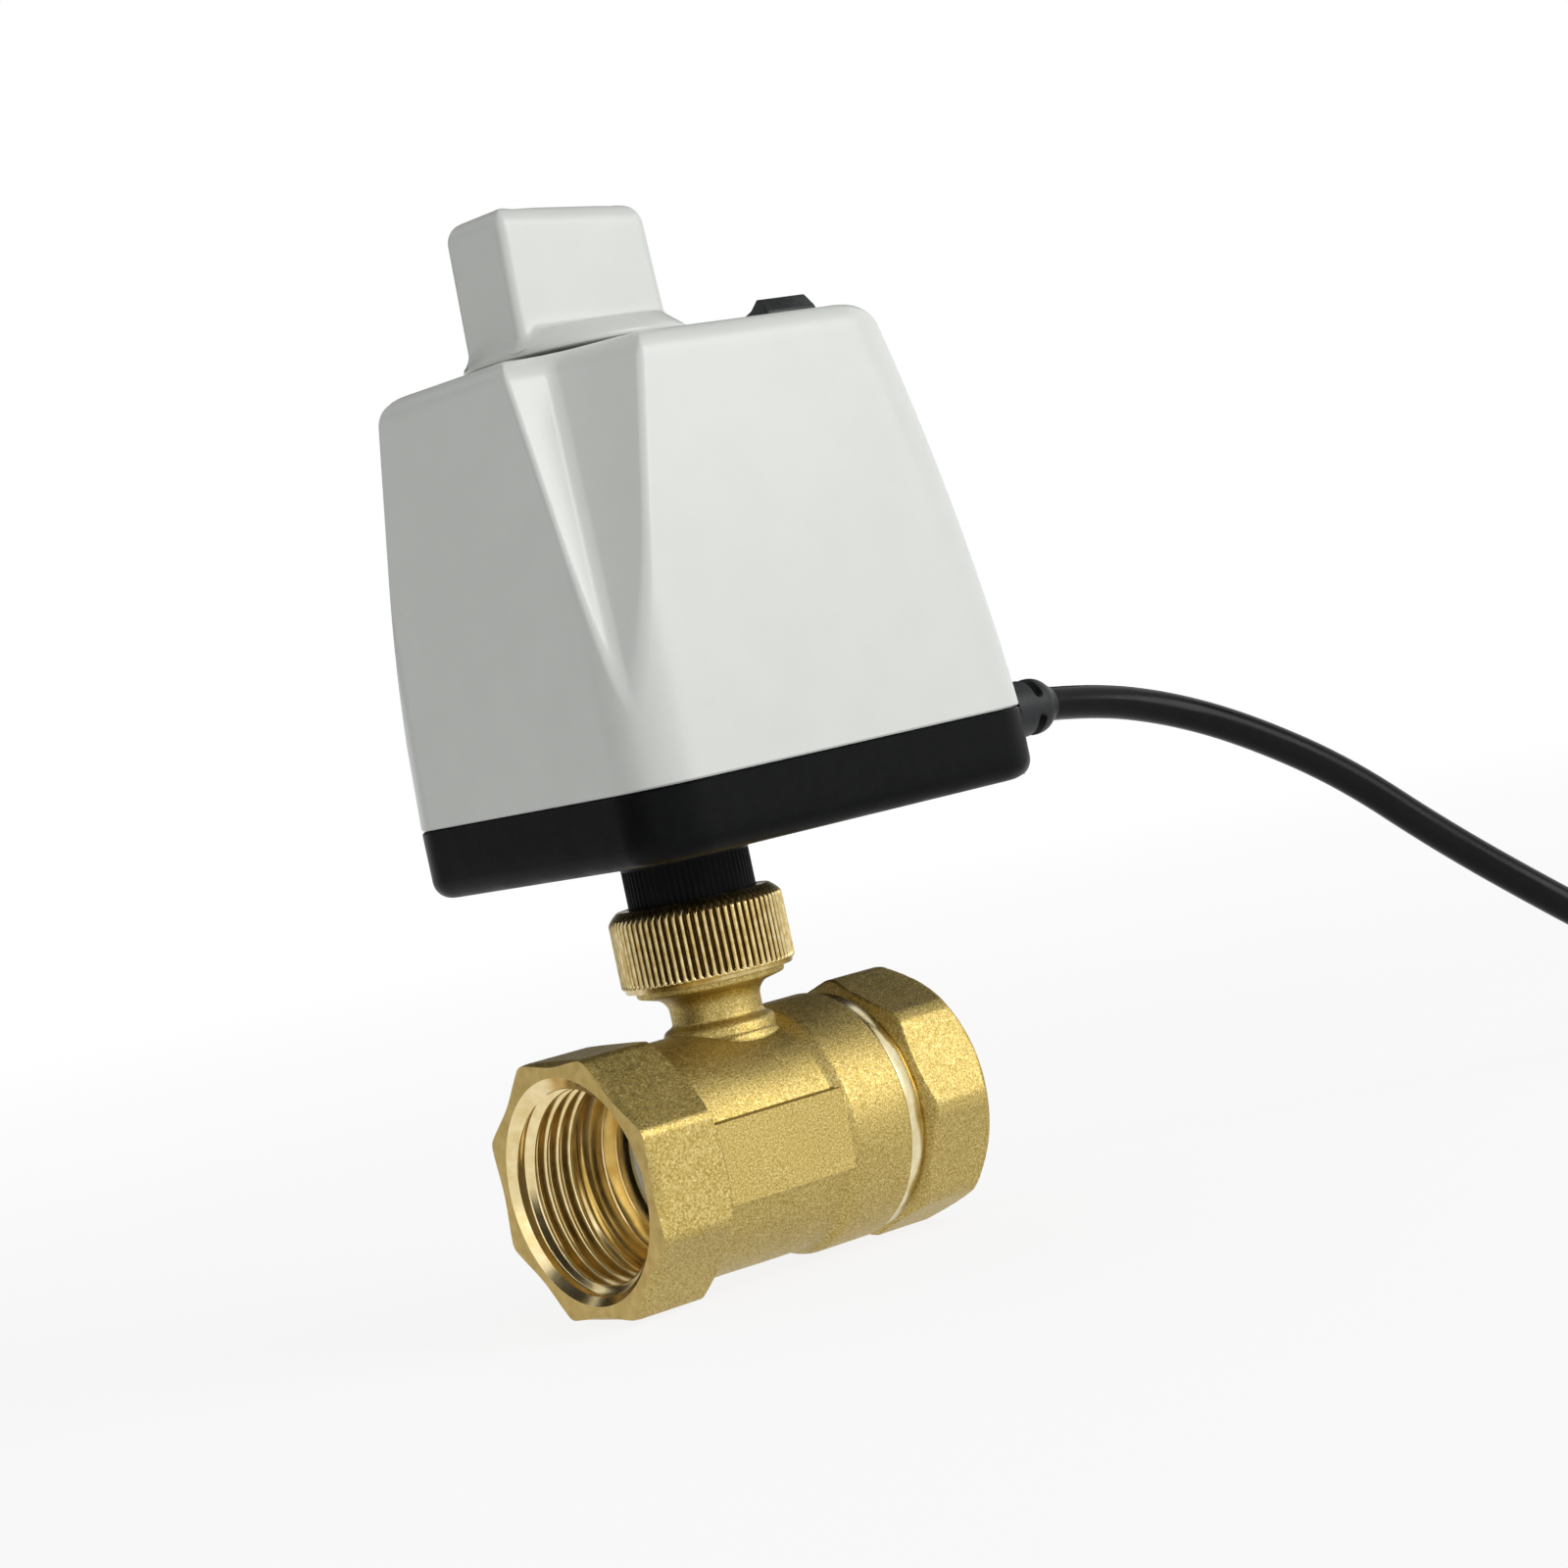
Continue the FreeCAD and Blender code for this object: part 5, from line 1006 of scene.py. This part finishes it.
def make_cord(made, boot):
    """The cord with its coil, and three cores with bare ends; lengths here are in metres."""
    points, end, along = coil_points()
    cord = spline_piece("power_cord", ROUTE + [tuple(point) for point in points], CORD_RADIUS,
                        made["cord"], "housing", ["cable_run", "cable_coil"])
    inward = Vector((-along.y, along.x, 0.0))
    pieces = [boot]
    core_radius = 0.0009
    wire_radius = 0.0006
    for step, colour in ((-1, "brown"), (0, "yellow"), (1, "blue")):
        bend = 0.011 - 0.0015 * step
        start = end + inward * step * 1.08 * core_radius
        start.z += 0.001 if step == 0 else -0.0007
        centre = start + inward * bend
        sweep = 0.022 / bend

        def on_arc(angle, reach):
            """A point of the core's bend, at an angle past its start and a reach from its centre."""
            return centre - inward * reach * math.cos(angle) + along * reach * math.sin(angle)

        part = sweep / 4.0
        corners = [start - along * 0.002, start]
        corners += [on_arc(part * (index + 0.5), bend / math.cos(part / 2.0)) for index in range(3)]
        corners.append(on_arc(part * 3.0, bend))
        lead = spline_piece("core_" + colour, corners, core_radius, made[colour], "housing",
                            ["core_leads"] if step == 0 else [], 4)
        tip = [on_arc(part * 2.9, bend), on_arc(part * 3.5, bend / math.cos(part / 2.0)),
               on_arc(part * 4.0, bend)]
        wire = spline_piece("wire_" + colour, tip, wire_radius, made["copper"], "housing", [], 4)
        pieces += [lead, wire]


# Pieces shown as they are in the frame

# The finish that each slot gets
SLOT_FINISH = {
    "brass": "turned", "nut_brass": "nut", "chrome_ball": "chrome", "seal": "seal", "steel": "steel",
    "rubber": "rubber", "black_plastic": "black", "pale_plastic": "pale", "switch_black": "rocker",
    "motor_can": "steel", "board": "board", "terminal": "terminal", "gear_plastic": "gear",
    "cord": "cord", "leads": "copper",
}


def dress_cad(made):
    """Give each CAD node that shows its procedural finish."""
    slots = {}
    for part in frame["record"].get("subparts", []):
        slots[part.get("node") or part.get("name")] = part.get("material_slot") or part.get("material")
    for name, item in frame["nodes"].items():
        key = SLOT_FINISH.get(slots.get(name) or "", "steel")
        item.data.materials.clear()
        item.data.materials.append(made[key])


# Floor and lights


def seen_ray(tree):
    """The light path, and one where a ray comes from the camera or from a mirroring surface."""
    path = add(tree, "ShaderNodeLightPath")
    seen = add(tree, "ShaderNodeMath", {0: path.outputs["Is Camera Ray"], 1: path.outputs["Is Glossy Ray"]},
               operation="MAXIMUM")
    return path, seen


def sheet(name, across, tall, finish):
    """A level rectangle round the origin, of half sizes in metres."""
    mesh = bpy.data.meshes.new(name)
    mesh.from_pydata([(-across, -tall, 0.0), (across, -tall, 0.0), (across, tall, 0.0),
                      (-across, tall, 0.0)], [], [(0, 1, 2, 3)])
    mesh.materials.append(finish)
    piece = bpy.data.objects.new(name, mesh)
    show(piece)
    return piece


def face_part(piece, place):
    """Put a lamp or card at its place, in metres, turned to the part's middle."""
    piece.location = place
    piece.rotation_mode = "QUATERNION"
    piece.rotation_quaternion = (Vector((0.0, 0.0, 0.08)) - Vector(place)).to_track_quat("-Z", "Y")


def make_stage():
    """Pale floor, white surroundings, soft lights, and dark cards that show only in reflections."""
    world = bpy.data.worlds.new("studio")
    bpy.context.scene.world = world
    world.use_nodes = True
    tree = world.node_tree
    tree.nodes.clear()
    path, seen = seen_ray(tree)
    shown = add(tree, "ShaderNodeMath", {0: seen.outputs[0], 1: path.outputs["Is Transmission Ray"]},
                operation="MAXIMUM")
    plain = add(tree, "ShaderNodeBackground", {"Color": linear("#ffffff"), "Strength": 0.35})
    white = add(tree, "ShaderNodeBackground", {"Color": linear("#ffffff"), "Strength": 1.0})
    mixed = add(tree, "ShaderNodeMixShader", {0: shown.outputs[0], 1: plain.outputs[0],
                                              2: white.outputs[0]})
    add(tree, "ShaderNodeOutputWorld", {"Surface": mixed.outputs[0]})

    finish = bpy.data.materials.new("pale_floor")
    finish.use_nodes = True
    tree = finish.node_tree
    tree.nodes.clear()
    seen = seen_ray(tree)[1]
    dull = add(tree, "ShaderNodeBsdfDiffuse", {"Color": linear("#e9e9e9")})
    glow = add(tree, "ShaderNodeEmission", {"Color": linear("#ffffff"), "Strength": 1.0})
    spots = add(tree, "ShaderNodeTexCoord").outputs["Object"]
    away = add(tree, "ShaderNodeVectorMath", {0: spots}, operation="LENGTH").outputs["Value"]
    glowing = spread(tree, away, 0.86, 1.0, 0.25, 1.1)
    share = add(tree, "ShaderNodeMath", {0: seen.outputs[0], 1: glowing}, operation="MULTIPLY")
    mixed = add(tree, "ShaderNodeMixShader", {0: share.outputs[0], 1: dull.outputs[0], 2: glow.outputs[0]})
    add(tree, "ShaderNodeOutputMaterial", {"Surface": mixed.outputs[0]})
    floor = sheet("floor", 4.0, 4.0, finish)

    lamps = {"key": ((0.45, -0.95, 0.55), 0.7, 6.6), "fill": ((-0.9, -0.35, 0.5), 0.8, 0.9),
             "rim": ((0.3, 0.9, 0.6), 0.8, 1.6), "top": ((0.0, 0.25, 1.1), 0.9, 1.2)}
    for name, (place, side, power) in lamps.items():
        lamp = bpy.data.lights.new(name, "AREA")
        lamp.shape = "SQUARE"
        lamp.size = side
        lamp.energy = power
        item = bpy.data.objects.new(name, lamp)
        face_part(item, place)
        show(item)

    cards = {"card_left": ((-0.784, 0.195, 0.15), (0.5, 0.4)), "card_back": ((0.35, 0.8, 0.5), (0.6, 0.3)),
             "card_top": ((0.0, 0.1, 0.8), (0.8, 0.6)), "card_far": ((-0.337, 0.834, 0.27), (0.16, 0.4))}
    ink = bpy.data.materials.new("card_ink")
    ink.use_nodes = True
    ink.node_tree.nodes["Principled BSDF"].inputs["Base Color"].default_value = linear("#2a2620")
    ink.node_tree.nodes["Principled BSDF"].inputs["Roughness"].default_value = 1.0
    for name, (place, (across, tall)) in cards.items():
        card = sheet(name, across, tall, ink)
        face_part(card, place)
        card.visible_camera = False
        card.visible_diffuse = False
        card.visible_shadow = False
        card.visible_transmission = False


make_camera()
finishes = make_materials()
boot_piece = make_boot(finishes["boot"])
make_cord(finishes, boot_piece)
make_cover(finishes["pale"])
make_tray(finishes["black"])
make_knob(finishes["knob"])
brass_finishes = [finishes[key] for key in ("cast", "turned", "bore", "faced")]
make_body_casting(brass_finishes)
make_end_casting(brass_finishes)
make_thread("inlet_thread", BODY_REACH, -1.0, finishes["bore"])
make_thread("outlet_thread", END_REACH, 1.0, finishes["bore"])
make_boss(finishes["cast"])
make_nut([finishes["nut"], finishes["groove"]])
make_rocker(finishes["rocker"])
dress_cad(finishes)
make_stage()
